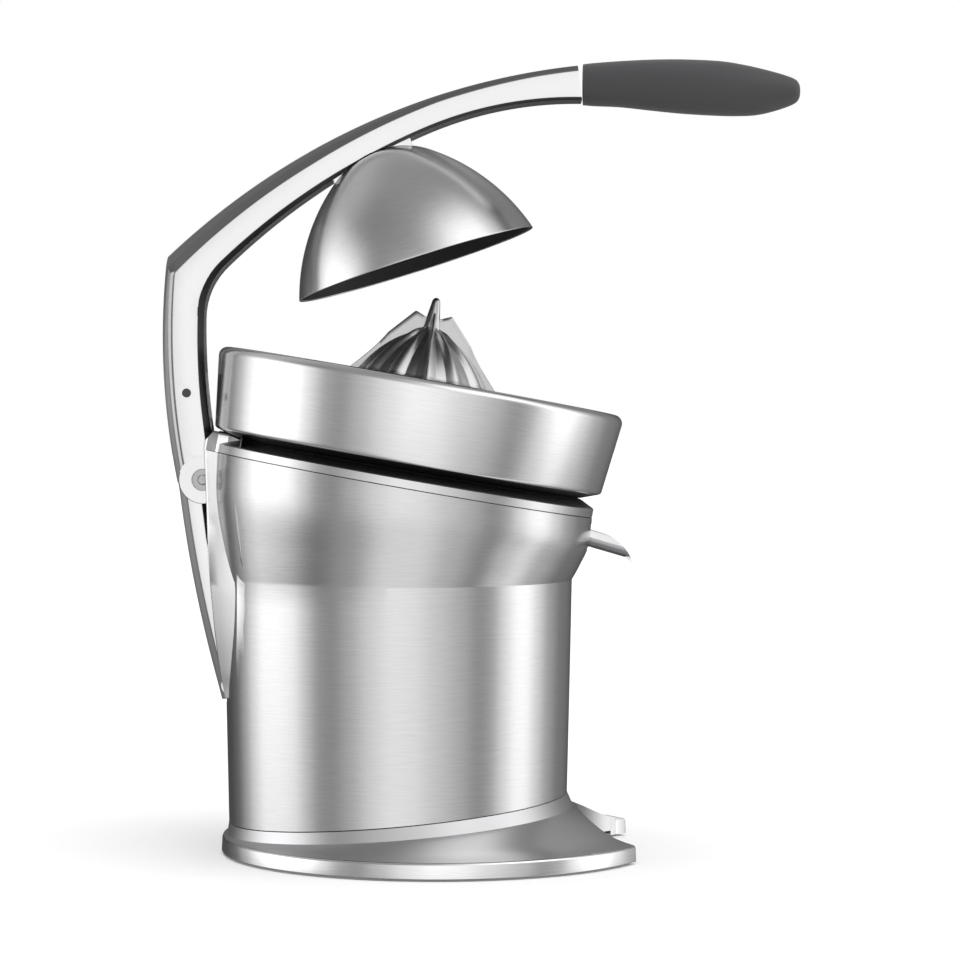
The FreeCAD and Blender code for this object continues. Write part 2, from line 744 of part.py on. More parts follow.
def make_drip_spout():
    """Half-round gutter with its sides cut away in an arc, hung on two stub pins."""
    spout = new_body("drip_spout", SPOUT_FRAME)
    section = sketch_on(spout, "YZ_Plane")
    add_outline(section, [(-11, 10.4), (-11, 5.4), (11, 5.4, 14), (11, 10.4), (9.8, 10.4),
                          (9.8, 5.6), (-9.8, 5.6, -13), (-9.8, 10.4)])
    feature(spout, "Pad", section, Length=31.6)
    side_pad(spout, [(5.6, 11), (5.6, 9), (12, 9), (31.8, 0.2, -24), (34, 0.2), (34, 12)], 14, "Pocket")
    side_pad(spout, [(28.5, 0.3), (33.2, -2.4), (31.3, 1.1), (28.5, 1.5)], 3.5)
    side_hole(spout, *SPOUT_HOLE, 1.55, 14)
    pins = new_body("spout_pins")
    pair_of_discs(pins, *SPOUT_PIN, 1.5, 9.85, 14.1)


# Arm and links, drawn in the middle plane with the arm raised

TAIL_PIN = (d.tail_pin_x, d.tail_pin_z)
ARM_PIN = (d.arm_pin_x, d.arm_pin_z)
GUIDE_PIN = (d.guide_pin_x, d.guide_pin_z)
LINK_PIN = (d.link_pin_x, d.link_pin_z)
CROSS_PIN = (-135, 246.6)
CARRIER = [(-29, 50), (15.5, 50), (17.5, 52.5), (17.5, 66.5), (15, 69), (-26.5, 69), (-29, 66.5)]
CARRIER_SCREW_X = 13
INNER_ARCS = [(202.1, 24.44), (358.4, 20.73), (38.5, 44.3), (352.9, 10.33)]
DOME_CURVE = 44.2
FLANK_CURVE = 108
DOME_SHOULDER = math.radians(54)
GRIP = [(77.4, 412.9, 11), (92, 412.6, 13), (112, 412, 14.6), (134, 411.4, 14.9), (156, 410.6, 14.3),
        (174, 409.8, 12.2), (187, 409.5, 9), (194.5, 409.4, 5)]


def polar(centre, radius, degrees):
    """A point on a circle, linked to the circle's own sizes."""
    angle = math.radians(degrees)
    return (centre[0] + radius * math.cos(angle), centre[1] + radius * math.sin(angle))


def tangent_arcs(start, heading, arcs):
    """The ends of arcs that follow each other smoothly; every arc is a radius and the angle it turns."""
    x, z = start
    points = []
    for radius, angle in arcs:
        first, last = math.radians(heading), math.radians(heading + angle)
        x += radius * (math.sin(last) - math.sin(first))
        z += radius * (math.cos(first) - math.cos(last))
        heading += angle
        points.append((x, z, radius))
    return points


def dome_shoulder(gap):
    """Where crown and flank meet on the dome's outside, made larger all round by gap."""
    radius = DOME_CURVE + gap
    return (radius * math.cos(DOME_SHOULDER),
            d.dome_height - DOME_CURVE + radius * math.sin(DOME_SHOULDER))


def clear_of_dome(body, gap, **where):
    """Takes the dome's room out of a piece that sits on it, with a gap all round."""
    low = 40
    back = FLANK_CURVE - DOME_CURVE
    rise = low - float(d.dome_height) + DOME_CURVE + back * math.sin(DOME_SHOULDER)
    wide = math.sqrt((FLANK_CURVE + gap) ** 2 - rise ** 2) - back * math.cos(DOME_SHOULDER)
    sketch = sketch_on(body, "XZ_Plane", **where)
    add_outline(sketch, [(0, low), (wide, low), (*dome_shoulder(gap), FLANK_CURVE + gap),
                         (0, d.dome_height + gap, DOME_CURVE + gap)])
    feature(body, "Groove", sketch, ReferenceAxis=(sketch, ["V_Axis"]), Angle=360.0)


def pair_of_discs(body, x, z, radius, inner, outer, kind="Pad"):
    """The same disc on both sides of the middle plane, between two distances from it."""
    for start in (inner, -outer):
        sketch = sketch_on(body, "XZ_Plane", z=start)
        add_circle(sketch, x, z, radius)
        settings = {"Length": float(outer - inner)}
        if kind == "Pocket":
            settings["Reversed"] = True
        feature(body, kind, sketch, **settings)


def make_tail_link():
    """Lower link of the arm: a solid bar that forks into two lugs at the arm's pivot."""
    link = new_body("tail_link")
    foot = 8
    side_pad(link, [polar(TAIL_PIN, foot, 194), (-139.3, 194.9, -722), polar(ARM_PIN, 12.8, 203),
                    (*polar(ARM_PIN, 12.8, 279), 12.8), (-124.3, 178), polar(TAIL_PIN, foot, 12),
                    (*polar(TAIL_PIN, foot, -90), -foot)], d.arm_half)
    side_disc(link, *ARM_PIN, 9, d.lug_outer)
    side_pad(link, [(-135.2, 184), (-124.6, 184), (-120, 196), (-135.2, 198)], d.lug_outer)
    side_pad(link, [(-160, 172), (-110, 172), (-110, 215), (-160, 215)], d.lug_inner, "Pocket")
    side_hole(link, *ARM_PIN, d.shaft_radius + d.running, 20)
    side_hole(link, *TAIL_PIN, d.shaft_radius + d.running, 20)
    cross_pin("tail_pin", *TAIL_PIN, d.shaft_radius, 16.9)


def make_guide_link():
    """Inner link that turns the arm as the tail swings back; its upper eye is a loose fit."""
    link = new_body("guide_link")
    side_disc(link, *GUIDE_PIN, 6, d.link_half)
    side_disc(link, *LINK_PIN, 6.8, d.link_half)
    side_pad(link, [(d.guide_pin_x - 4.8, d.guide_pin_z - 1), (d.guide_pin_x + 4.8, d.guide_pin_z + 1),
                    (d.link_pin_x + 4.8, d.link_pin_z + 1), (d.link_pin_x - 4.8, d.link_pin_z - 1)],
             d.link_half)
    side_hole(link, *GUIDE_PIN, 2.55, 10)
    side_hole(link, *LINK_PIN, 3.6, 10)
    cross_pin("guide_pin", *GUIDE_PIN, 2.5, 17)
    cross_pin("link_pin", *LINK_PIN, 2.5, 12)


def make_press_arm():
    """Cast lever: upright stem, sharp knee, long arch and a tang that fills the grip."""
    arm = new_body("press_arm")
    knee = (-146, 319.9)
    inner = (76.8, 403.5)
    side_pad(arm, [(-140.3, 198.6), (*knee, -397), (74.5, 422.2, -380), (77.2, 409), inner]
             + tangent_arcs(inner, 178.97, INNER_ARCS)
             + [polar(ARM_PIN, d.knuckle_radius, 66),
                (*polar(ARM_PIN, d.knuckle_radius, -50), -d.knuckle_radius),
                (*polar(ARM_PIN, d.knuckle_radius, -165), -d.knuckle_radius)], d.arm_half)
    bevel(arm, 5.5, lambda box: box.YLength < 1 and box.ZLength > 100 and box.XMin < -145)
    bevel(arm, 3.5, lambda box: box.YLength < 1 and box.ZLength > 14 and box.XMax < 76.9
          and abs(box.YMin) > 13 and box.XMin > -127 and box.ZMin > 212)
    for side in (1, -1):
        slab_cut(arm, [(-70, 13.6 * side), (80, 11.2 * side), (80, 20 * side), (-70, 20 * side)][::side],
                 330, 440)
    side_pad(arm, [(70, 407.5), (184, 405.2), (187, 409.6), (184, 414), (70, 418.5)], 5)
    # channel for the guide link, closed at the back
    side_pad(arm, [(-137.2, 180), (-143.6, 236), (-144, 258), (-112, 258), (-100, 220), (-100, 180)],
             d.cheek_inner, "Pocket")
    # seat of the dome's carrier, and room for the top of the dome
    side_pad(arm, [(-29.2, 45), (17.7, 45), (17.7, 66.6), (15.2, 69.2), (-26.7, 69.2), (-29.2, 66.6)],
             10.7, "Pocket", x=d.dome_x, y=d.dome_z, spin=-d.dome_tilt)
    for x in (-CARRIER_SCREW_X, CARRIER_SCREW_X):
        sketch = sketch_on(arm, "XY_Plane", x=d.dome_x, z=d.dome_z, turn=d.dome_tilt)
        add_circle(sketch, x, 0, 1.95)
        feature(arm, "Pocket", sketch, Length=76.5, Reversed=True)
    clear_of_dome(arm, 0.5, x=d.dome_x, y=d.dome_z, spin=-d.dome_tilt)
    side_hole(arm, *ARM_PIN, d.shaft_radius + 0.03, 20)
    pair_of_discs(arm, *ARM_PIN, 5.85, 12.1, 15, "Pocket")
    side_hole(arm, *LINK_PIN, 2.53, 12.1)
    side_hole(arm, *CROSS_PIN, 2.43, 20)


def bevel(body, size, wanted):
    """Bevels the edges of the body's last feature whose bounding box is wanted."""
    doc.recompute()
    last = body.Tip
    edges = [f"Edge{number}" for number, edge in enumerate(last.Shape.Edges, 1)
             if wanted(edge.BoundBox)]
    made = body.newObject("PartDesign::Chamfer", body.Name + "_bevel")
    made.Base = (last, edges)
    made.Size = size
    body.Tip = made


def make_arm_pins():
    pins = new_body("arm_pivot_pins")
    pair_of_discs(pins, *ARM_PIN, d.shaft_radius, 5.3, 12.3)
    pair_of_discs(pins, *ARM_PIN, 5.8, 12.2, 13.4)
    pair_of_discs(pins, *ARM_PIN, 2.2, 12.9, 14, "Pocket")
    cross_pin("arm_cross_pin", *CROSS_PIN, 2.4, 13.4)


def make_grip():
    """Soft swelling grip over the arm's tang."""
    grip = new_body("grip_sleeve")
    rings = []
    for x, z, radius in GRIP:
        sketch = sketch_on(grip, "YZ_Plane", y=z, z=x)
        add_circle(sketch, 0, 0, radius)
        rings.append(sketch)
    loft(grip, rings)
    side_pad(grip, [(70, 407.3), (184.2, 405), (187.3, 409.6), (184.2, 414.2), (70, 418.7)], 5.2,
             "Pocket")


def make_dome():
    """Pressing dome: steel shell, dark liner, the saddle that carries it and two screws."""
    def arch(label, less, rim_z, thick):
        deep = less + thick
        rim = d.dome_radius - less - 0.45 * rim_z
        return turned(label, [(0, d.dome_height - less), (*dome_shoulder(-less), less - DOME_CURVE),
                              (rim, rim_z, less - FLANK_CURVE), (rim - thick, rim_z),
                              (*dome_shoulder(-deep), FLANK_CURVE - deep),
                              (0, d.dome_height - deep, DOME_CURVE - deep)], DOME)

    shell = arch("dome_shell", 0, 0, 1.2)
    liner = arch("dome_liner", 1.5, 0.4, 1.3)
    for body in (shell, liner):
        for x in (-CARRIER_SCREW_X, CARRIER_SCREW_X):
            hole(body, 2.1, 40, 72, x)
    carrier = new_body("dome_carrier", DOME)
    side_pad(carrier, CARRIER, 10.5)
    clear_of_dome(carrier, 0.2)
    screws = new_body("dome_screws", DOME)
    for x in (-CARRIER_SCREW_X, CARRIER_SCREW_X):
        hole(carrier, 1.95, 40, 72, x)
        turn_profile(screws, [(0, 57), (3, 57), (3.4, 58.6), (1.9, 58.6), (1.9, 75.5), (0, 75.5)], x=x)


def before_cut(thing):
    """What a cut was made in, or nothing for every other kind of object."""
    if thing.TypeId in ("PartDesign::Pocket", "PartDesign::Groove"):
        return thing.BaseFeature
    return thing.Base if thing.TypeId == "Part::Cut" else None


def check_and_write():
    """Stops at anything that failed or cut nothing, then writes one file for each piece."""
    doc.recompute()
    for thing in doc.Objects:
        if "Invalid" in thing.State or "Error" in thing.State:
            raise RuntimeError(f"{thing.Name} has failed")
        before = before_cut(thing)
        if before and before.Shape.Volume - thing.Shape.Volume < 0.5:
            raise RuntimeError(f"{thing.Name} cuts nothing away")
    os.makedirs("parts", exist_ok=True)
    for node in nodes:
        if node.Shape.isNull() or not node.Shape.isValid():
            raise RuntimeError(f"{node.Label} is not a valid solid")
        node.Shape.exportStep(f"parts/{node.Label}.step")
        print(f"{node.Label}: {len(node.Shape.Solids)} solid(s), {node.Shape.Volume / 1000:.2f} cm3")


for make in (make_foot_casting, make_base_ring, make_base_plate, make_foot_fittings,
             make_motor_housing, make_top_deck, make_bowl_seal, make_bowl, make_strainer, make_reamer,
             make_spindle, make_idler, make_motor, make_gearbox, make_fasteners, make_start_switch,
             make_juice_funnel, make_drip_spout, make_tail_link, make_guide_link, make_press_arm,
             make_arm_pins, make_grip, make_dome):
    make()
check_and_write()
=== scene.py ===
import math

import bmesh
import bpy
from mathutils import Matrix, Vector


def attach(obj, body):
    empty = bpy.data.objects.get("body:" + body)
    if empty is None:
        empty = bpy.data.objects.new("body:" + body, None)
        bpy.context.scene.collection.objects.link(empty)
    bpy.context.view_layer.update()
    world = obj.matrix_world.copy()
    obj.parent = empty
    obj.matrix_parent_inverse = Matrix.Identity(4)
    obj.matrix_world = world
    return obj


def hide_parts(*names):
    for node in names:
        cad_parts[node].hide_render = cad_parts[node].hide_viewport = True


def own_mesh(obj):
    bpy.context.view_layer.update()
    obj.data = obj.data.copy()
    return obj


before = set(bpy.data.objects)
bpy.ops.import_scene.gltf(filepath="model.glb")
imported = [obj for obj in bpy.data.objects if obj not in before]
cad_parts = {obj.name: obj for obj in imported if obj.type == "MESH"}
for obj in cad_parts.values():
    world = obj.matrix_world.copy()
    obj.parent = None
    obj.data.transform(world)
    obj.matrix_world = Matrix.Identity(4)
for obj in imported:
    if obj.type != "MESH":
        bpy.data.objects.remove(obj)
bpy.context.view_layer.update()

# The camera and the room are given in metres, the press in millimetres
MM = 0.001
EYE = Vector((0.0221, -1.585, 0.2252))
LOOK_AT = Vector((0.0221, 0.0, 0.1998))
LENS = 110.06
FLOOR_REACH = 30

# How many sides the round shapes have, from the widest to the narrowest
ROUND = 240
WIDE = 128
MEDIUM = 96
NARROW = 64
THIN = 48

LIGHT_POWER = 2.3
LIGHT_SPREAD = math.radians(80)


def leaning(x, z, tilt):
    """Frame of an axis in the press's middle plane, in millimetres and degrees."""
    return Matrix.Translation((x, 0, z)) @ Matrix.Rotation(math.radians(tilt), 4, "Y")


DECK = leaning(-18.9, 197.4, 10)
DOME = leaning(-12.3, 315.9, -17.58)
SPOUT = leaning(73, 166.1, 16.3)
HOUSING = leaning(-22.1, 0, 0)
UPRIGHT = Matrix.Identity(4)


# Camera, floor and light

def add_object(name, data):
    made = bpy.data.objects.new(name, data)
    bpy.context.scene.collection.objects.link(made)
    return made


def add_camera():
    lens = bpy.data.cameras.new("camera")
    lens.lens = LENS
    lens.sensor_width = 36
    lens.clip_start = 0.05
    camera = add_object("camera", lens)
    camera.location = EYE
    camera.rotation_euler = (LOOK_AT - EYE).to_track_quat("-Z", "Y").to_euler()
    bpy.context.scene.camera = camera


def add_top_light():
    """Wide soft light from above for the floor and the matt pieces; bright metal doesn't mirror it."""
    light = bpy.data.lights.new("top_light", "SUN")
    light.energy = LIGHT_POWER
    light.angle = LIGHT_SPREAD
    lamp = add_object("top_light", light)
    lamp.location = (0, 0, 2)
    lamp.visible_glossy = False


def add_floor():
    paint, tree, shader = new_material("pale_floor")
    fill(tree, shader, {"Base Color": grey(0.94), "Roughness": 0.9, "Specular IOR Level": 0.1})
    corners = [(x, y, 0) for x, y in box(-FLOOR_REACH, FLOOR_REACH, -FLOOR_REACH, FLOOR_REACH)]
    mesh = bpy.data.meshes.new("floor")
    mesh.from_pydata(corners, [], [(0, 1, 2, 3)])
    mesh.materials.append(paint)
    floor = add_object("floor", mesh)
    floor.visible_glossy = False


# How bright the room is by compass angle from the camera's side, positive towards the spout:
# at eye level, well below it and high up
EYE_LEVEL = [(-180, 0.04), (-150, 0.04), (-134, 0.09), (-121, 0.32), (-110, 0.68), (-99, 1), (-84, 1),
             (-72, 0.92), (-62, 0.56), (-52, 0.25), (-42, 0.19), (-31, 0.34), (-16, 0.55), (-2, 0.7),
             (10, 0.66), (27, 0.5), (44, 0.35), (56, 0.21), (66, 0.28), (76, 0.65), (87, 0.96),
             (96, 0.96), (107, 0.6), (120, 0.28), (138, 0.14), (180, 0.04)]
BELOW = [(-180, 0.04), (-130, 0.08), (-104, 0.22), (-84, 0.22), (-58, 0.12), (-34, 0.24), (-8, 0.56),
         (10, 0.56), (34, 0.36), (58, 0.18), (76, 0.42), (90, 0.6), (110, 0.32), (140, 0.12),
         (180, 0.04)]
HIGH = [(-180, 0.3), (-110, 0.3), (-64, 0.16), (-26, 0.19), (-6, 0.25), (12, 0.45), (30, 0.78),
        (50, 0.95), (78, 0.9), (94, 0.5), (112, 0.2), (140, 0.14), (180, 0.3)]
CEILING = 0.2
ROOM_LIGHT = 1.55

# Between which heights of the reflected direction one part of the room passes into the next
EYE_LEVEL_STARTS = (-0.38, -0.05)
HIGH_STARTS = (0.25, 0.6)
CEILING_STARTS = (0.8, 0.97)


def add_surround():
    """Pale room with soft bands, so that bright metal shows light and dark streaks."""
    world = bpy.data.worlds.new("studio")
    bpy.context.scene.world = world
    world.use_nodes = True
    tree = world.node_tree
    tree.nodes.clear()
    place = add_node(tree, "ShaderNodeTexCoord")
    x, y, height = add_node(tree, "ShaderNodeSeparateXYZ", {0: place.outputs["Generated"]}).outputs
    angle = calculate(tree, "ARCTAN2", x, calculate(tree, "MULTIPLY", y, -1))
    compass = map_range(tree, angle, -math.pi, math.pi)
    shade = band_ramp(tree, compass, BELOW)
    levels = [(EYE_LEVEL_STARTS, band_ramp(tree, compass, EYE_LEVEL)),
              (HIGH_STARTS, band_ramp(tree, compass, HIGH)),
              (CEILING_STARTS, grey(CEILING))]
    for starts, level in levels:
        shade = mix_colours(tree, map_range(tree, height, *starts), shade, level)
    room = add_node(tree, "ShaderNodeBackground", {"Color": shade, "Strength": ROOM_LIGHT})
    wall = add_node(tree, "ShaderNodeBackground", {"Color": grey(1)})
    seen = add_node(tree, "ShaderNodeLightPath").outputs["Is Camera Ray"]
    choose = add_node(tree, "ShaderNodeMixShader", {"Fac": seen, 1: room.outputs[0], 2: wall.outputs[0]})
    add_node(tree, "ShaderNodeOutputWorld", {"Surface": choose.outputs[0]})


# Shader nodes

def fill(tree, node, inputs):
    """Gives a node's inputs constants or other nodes' outputs."""
    for name, value in inputs.items():
        if isinstance(value, bpy.types.NodeSocket):
            tree.links.new(value, node.inputs[name])
        else:
            node.inputs[name].default_value = value
    return node


def add_node(tree, kind, inputs=None, **settings):
    node = tree.nodes.new(kind)
    for name, value in settings.items():
        setattr(node, name, value)
    return fill(tree, node, inputs or {})


def calculate(tree, operation, first, second):
    return add_node(tree, "ShaderNodeMath", {0: first, 1: second}, operation=operation).outputs[0]


def map_range(tree, value, low=0, high=1, least=0, most=1):
    """Runs from least to most as a value goes from low to high."""
    ends = {"From Min": low, "From Max": high, "To Min": least, "To Max": most}
    return add_node(tree, "ShaderNodeMapRange", {"Value": value, **ends}).outputs[0]


def mix_colours(tree, mask, low, high):
    inputs = {"Factor": mask, "A": low, "B": high}
    return add_node(tree, "ShaderNodeMix", inputs, data_type="RGBA").outputs["Result"]


def band_ramp(tree, compass, stops):
    """Grey bands by compass angle; the two stops that a new ramp has are used first."""
    node = add_node(tree, "ShaderNodeValToRGB", {0: compass})
    ramp = node.color_ramp
    ramp.interpolation = "EASE"
    while len(ramp.elements) < len(stops):
        ramp.elements.new(0.5)
    for element, (angle, level) in zip(ramp.elements, stops):
        element.position = (angle + 180) / 360
        element.color = grey(level)
    return node.outputs["Color"]


def noise(tree, where, scale, detail, rough=0.5):
    inputs = {"Vector": where, "Scale": scale, "Detail": detail, "Roughness": rough}
    return add_node(tree, "ShaderNodeTexNoise", inputs).outputs["Fac"]


def bump_normal(tree, height, depth, strength):
    """Normal of a surface that a pattern raises by a depth."""
    inputs = {"Strength": strength, "Distance": depth, "Height": height}
    return add_node(tree, "ShaderNodeBump", inputs).outputs[0]


def grey(level):
    return (level, level, level, 1)


# Shader groups that several finishes share

def new_group(name, values, outputs):
    """A group with a vector input, numbers that have these values, and the named outputs."""
    tree = bpy.data.node_groups.new(name, "ShaderNodeTree")
    tree.interface.new_socket("Vector", in_out="INPUT", socket_type="NodeSocketVector")
    for label, value in values.items():
        socket = tree.interface.new_socket(label, in_out="INPUT", socket_type="NodeSocketFloat")
        socket.default_value = value
    for label in outputs:
        kind = "NodeSocketVector" if label == "Normal" else "NodeSocketFloat"
        tree.interface.new_socket(label, in_out="OUTPUT", socket_type=kind)
    return tree, tree.nodes.new("NodeGroupInput").outputs


def ring_brush_group():
    """Fine scratches that run round the upright axis of the given coordinates."""
    tree, given = new_group("ring_brush", {"Fineness": 2600.0, "Run": 9.0, "Depth": 0.00002},
                            ["Scratches", "Patches", "Normal"])
    x, y, height = add_node(tree, "ShaderNodeSeparateXYZ", {0: given["Vector"]}).outputs
    flat = add_node(tree, "ShaderNodeCombineXYZ", {"X": x, "Y": y}).outputs[0]
    radius = add_node(tree, "ShaderNodeVectorMath", {0: flat}, operation="LENGTH").outputs["Value"]
    across = {"X": calculate(tree, "MULTIPLY", calculate(tree, "ARCTAN2", y, x), given["Run"]),
              "Y": calculate(tree, "MULTIPLY", height, given["Fineness"]),
              "Z": calculate(tree, "MULTIPLY", radius, given["Fineness"])}
    scratches = noise(tree, add_node(tree, "ShaderNodeCombineXYZ", across).outputs[0], 1.0, 3.0, 0.65)
    patches = noise(tree, given["Vector"], 22.0, 2.0)
    normal = bump_normal(tree, scratches, given["Depth"], 0.6)
    add_node(tree, "NodeGroupOutput", {"Scratches": scratches, "Patches": patches, "Normal": normal})
    return tree


def satin_group():
    """Even fine grain with slow patches, for cast, moulded and rubber surfaces."""
    tree, given = new_group("satin_grain", {"Fineness": 1800.0, "Depth": 0.00002},
                            ["Grain", "Patches", "Normal"])
    grain = noise(tree, given["Vector"], given["Fineness"], 3.0, 0.6)
    patches = noise(tree, given["Vector"], 16.0, 3.0)
    normal = bump_normal(tree, grain, given["Depth"], 0.5)
    add_node(tree, "NodeGroupOutput", {"Grain": grain, "Patches": patches, "Normal": normal})
    return tree


def edge_group():
    """Mask of the worn, paler line along convex edges."""
    tree, given = new_group("edge_wear", {"Reach": 0.54}, ["Worn"])
    shape = add_node(tree, "ShaderNodeNewGeometry")
    patchy = noise(tree, given["Vector"], 160.0, 2.0)
    height = calculate(tree, "SUBTRACT", shape.outputs["Pointiness"], given["Reach"])
    worn = calculate(tree, "MULTIPLY", calculate(tree, "MULTIPLY", height, 14.0), patchy)
    add_node(tree, "NodeGroupOutput", {"Worn": add_node(tree, "ShaderNodeClamp", {0: worn}).outputs[0]})
    return tree


RING_BRUSH = ring_brush_group()
SATIN = satin_group()
EDGE_WEAR = edge_group()


def place_group(tree, group, where, **values):
    return add_node(tree, "ShaderNodeGroup", {"Vector": where, **values}, node_tree=group).outputs


def new_material(name):
    made = bpy.data.materials.new(name)
    made.use_nodes = True
    tree = made.node_tree
    tree.nodes.clear()
    shader = add_node(tree, "ShaderNodeBsdfPrincipled")
    add_node(tree, "ShaderNodeOutputMaterial", {"Surface": shader.outputs[0]})
    return made, tree, shader


def local_place(tree, matrix=UPRIGHT):
    """The piece's own coordinates, seen from a leaning or standing axis."""
    place = add_node(tree, "ShaderNodeTexCoord").outputs["Object"]
    if matrix is UPRIGHT:
        return place
    inputs = {"Vector": place, "Location": matrix.translation * MM, "Rotation": matrix.to_euler()}
    return add_node(tree, "ShaderNodeMapping", inputs, vector_type="TEXTURE").outputs[0]


def brushed_metal(name, level, rough, matrix=UPRIGHT, depth=0.00002, run=9.0):
    """Steel brushed in rings round its own axis."""
    made, tree, shader = new_material(name)
    brush = place_group(tree, RING_BRUSH, local_place(tree, matrix), Depth=depth, Run=run)
    scratches, patches = brush["Scratches"], brush["Patches"]
    colour = mix_colours(tree, scratches, grey(level * 0.86), grey(level * 1.1))
    both = calculate(tree, "ADD", calculate(tree, "MULTIPLY", scratches, 0.75),
                     calculate(tree, "MULTIPLY", patches, 0.25))
    roughness = map_range(tree, both, least=rough * 0.8, most=rough * 1.2)
    fill(tree, shader, {"Base Color": colour, "Roughness": roughness, "Normal": brush["Normal"],
                        "Metallic": 1})
    return made


def satin_finish(name, colour, rough, metallic=0.0, fineness=1800.0, depth=0.00002, sheen=0.0,
                 patchy=0.1):
    """Cast metal, moulded plastic or rubber with fine grain and edges that are a little worn."""
    made, tree, shader = new_material(name)
    where = local_place(tree)
    grain = place_group(tree, SATIN, where, Fineness=fineness, Depth=depth)
    edge = place_group(tree, EDGE_WEAR, where)
    dark, pale, worn = [(*[min(1, part * share) for part in colour], 1)
                        for share in (1 - patchy, 1 + patchy, 1.25)]
    colour = mix_colours(tree, edge["Worn"], mix_colours(tree, grain["Patches"], dark, pale), worn)
    roughness = map_range(tree, grain["Grain"], least=rough * 0.85, most=rough * 1.15)
    fill(tree, shader, {"Base Color": colour, "Roughness": roughness, "Normal": grain["Normal"],
                        "Metallic": metallic, "Sheen Weight": sheen})
    return made


# Mesh helpers

def helper(name, verts, faces, merge=0.000001):
    """A shape from points in millimetres; those closer than merge, in metres, become one point."""
    mesh = bpy.data.meshes.new(name)
    mesh.from_pydata([Vector(point) * MM for point in verts], [], faces)
    solid = bmesh.new()
    solid.from_mesh(mesh)
    bmesh.ops.remove_doubles(solid, verts=solid.verts, dist=merge)
    bmesh.ops.recalc_face_normals(solid, faces=solid.faces)
    solid.to_mesh(mesh)
    solid.free()
    return add_object(name, mesh)


def settle(piece, material, sharp=32):
    """Smooth shading between sharp edges, with one finish all over."""
    mesh = piece.data
    mesh.materials.clear()
    mesh.materials.append(material)
    for face in mesh.polygons:
        face.material_index = 0
    mesh.shade_smooth()
    mesh.set_sharp_from_angle(angle=math.radians(sharp))


def keep(piece, name, material, body, node, sharp=32):
    """Finishes a piece that rides on a body and stands for one CAD node."""
    piece.name = name
    settle(piece, material, sharp)
    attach(piece, body)
    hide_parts(node)
    return piece


def keep_mesh(name, verts, faces, material, body, node, sharp=32):
    return keep(helper(name, verts, faces, 0.000002), name, material, body, node, sharp)


def box(left, right, low, high):
    return [(left, low), (right, low), (right, high), (left, high)]


def angles(count):
    """Directions spread evenly over one turn."""
    return [2 * math.pi * k / count for k in range(count)]


def circle(x, y, radius, count=ROUND):
    return [(x + radius * math.cos(angle), y + radius * math.sin(angle)) for angle in angles(count)]


def ring_points(matrix, radius, height=0, count=ROUND, centre=(0, 0)):
    """A circle that lies across the matrix's own axis."""
    return [matrix @ Vector((x, y, height)) for x, y in circle(*centre, radius, count)]


def arc_points(start, end, radius, step=1.5):
    """Points after start along an arc to end; a positive radius turns counter-clockwise."""
    start, end = Vector(start[:2]), Vector(end[:2])
    half = (end - start) / 2
    away = math.copysign(math.sqrt(max(0, radius ** 2 - half.length ** 2)), radius)
    centre = start + half + Vector((-half.y, half.x)).normalized() * away
    first = math.atan2(start.y - centre.y, start.x - centre.x)
    sweep = math.copysign(2 * math.asin(min(1, half.length / abs(radius))), radius)
    count = max(3, math.ceil(abs(sweep * radius) / step))
    return [centre + Vector((math.cos(first + sweep * k / count), math.sin(first + sweep * k / count)))
            * abs(radius) for k in range(1, count + 1)]


def follow(points, closed=True, step=1.5):
    """Outline whose third numbers are arcs, opened into a row of points."""
    line = [Vector(points[0][:2])]
    rest = points[1:] + (points[:1] if closed and len(points[0]) == 3 else [])
    for point in rest:
        if len(point) == 3:
            line += arc_points(line[-1], point, point[2], step)
        else:
            line.append(Vector(point))
    if closed and (line[-1] - line[0]).length < 0.001:
        line.pop()
    return line


def soften(line, size, closed=True, limit=18, parts=4):
    """Rounds the corners of an outline that turn by more than a limit in degrees."""
    made = []
    for index, corner in enumerate(line):
        before = corner - line[index - 1]
        after = line[(index + 1) % len(line)] - corner
        loose = not closed and index in (0, len(line) - 1)
        if loose or min(before.length, after.length) < 1e-6 or math.degrees(before.angle(after)) <= limit:
            made.append(corner)
            continue
        room = min(size, before.length * 0.48, after.length * 0.48)
        first = corner - before.normalized() * room
        last = corner + after.normalized() * room
        for t in [k / parts for k in range(parts + 1)]:
            made.append(first * (1 - t) ** 2 + corner * 2 * t * (1 - t) + last * t ** 2)
    return made


def spin(line, matrix, turns=ROUND, closed=True, centre=(0, 0)):
    """Turns a line of radius and height once round; a point on the axis stays one point."""
    verts, rows = [], []
    for radius, height in line:
        if radius < 0.01:
            ring = [matrix @ Vector((*centre, height))]
        else:
            ring = ring_points(matrix, radius, height, turns, centre)
        rows.append(list(range(len(verts), len(verts) + len(ring))))
        verts += ring
    faces = []
    for low, high in zip(rows, rows[1:] + (rows[:1] if closed else [])):
        faces += bridge(low, high)
    return verts, faces


def lathe(name, outline, matrix, material, body, node, size=0.4, turns=ROUND, closed=True, centre=(0, 0)):
    """A turned piece whose corners are rounded off by a size."""
    line = soften(follow(outline, closed), size, closed)
    return keep_mesh(name, *spin(line, matrix, turns, closed, centre), material, body, node)


def turned_helper(outline, matrix, turns=ROUND):
    return helper("turned_tool", *spin(follow(outline), matrix, turns))


def bridge(low, high):
    """Faces between two rings of points, either of which may be a single point."""
    faces = []
    for k in range(max(len(low), len(high))):
        corners = [low[k % len(low)], low[(k + 1) % len(low)],
                   high[(k + 1) % len(high)], high[k % len(high)]]
        faces.append(tuple(dict.fromkeys(corners)))
    return [face for face in faces if len(face) > 2]


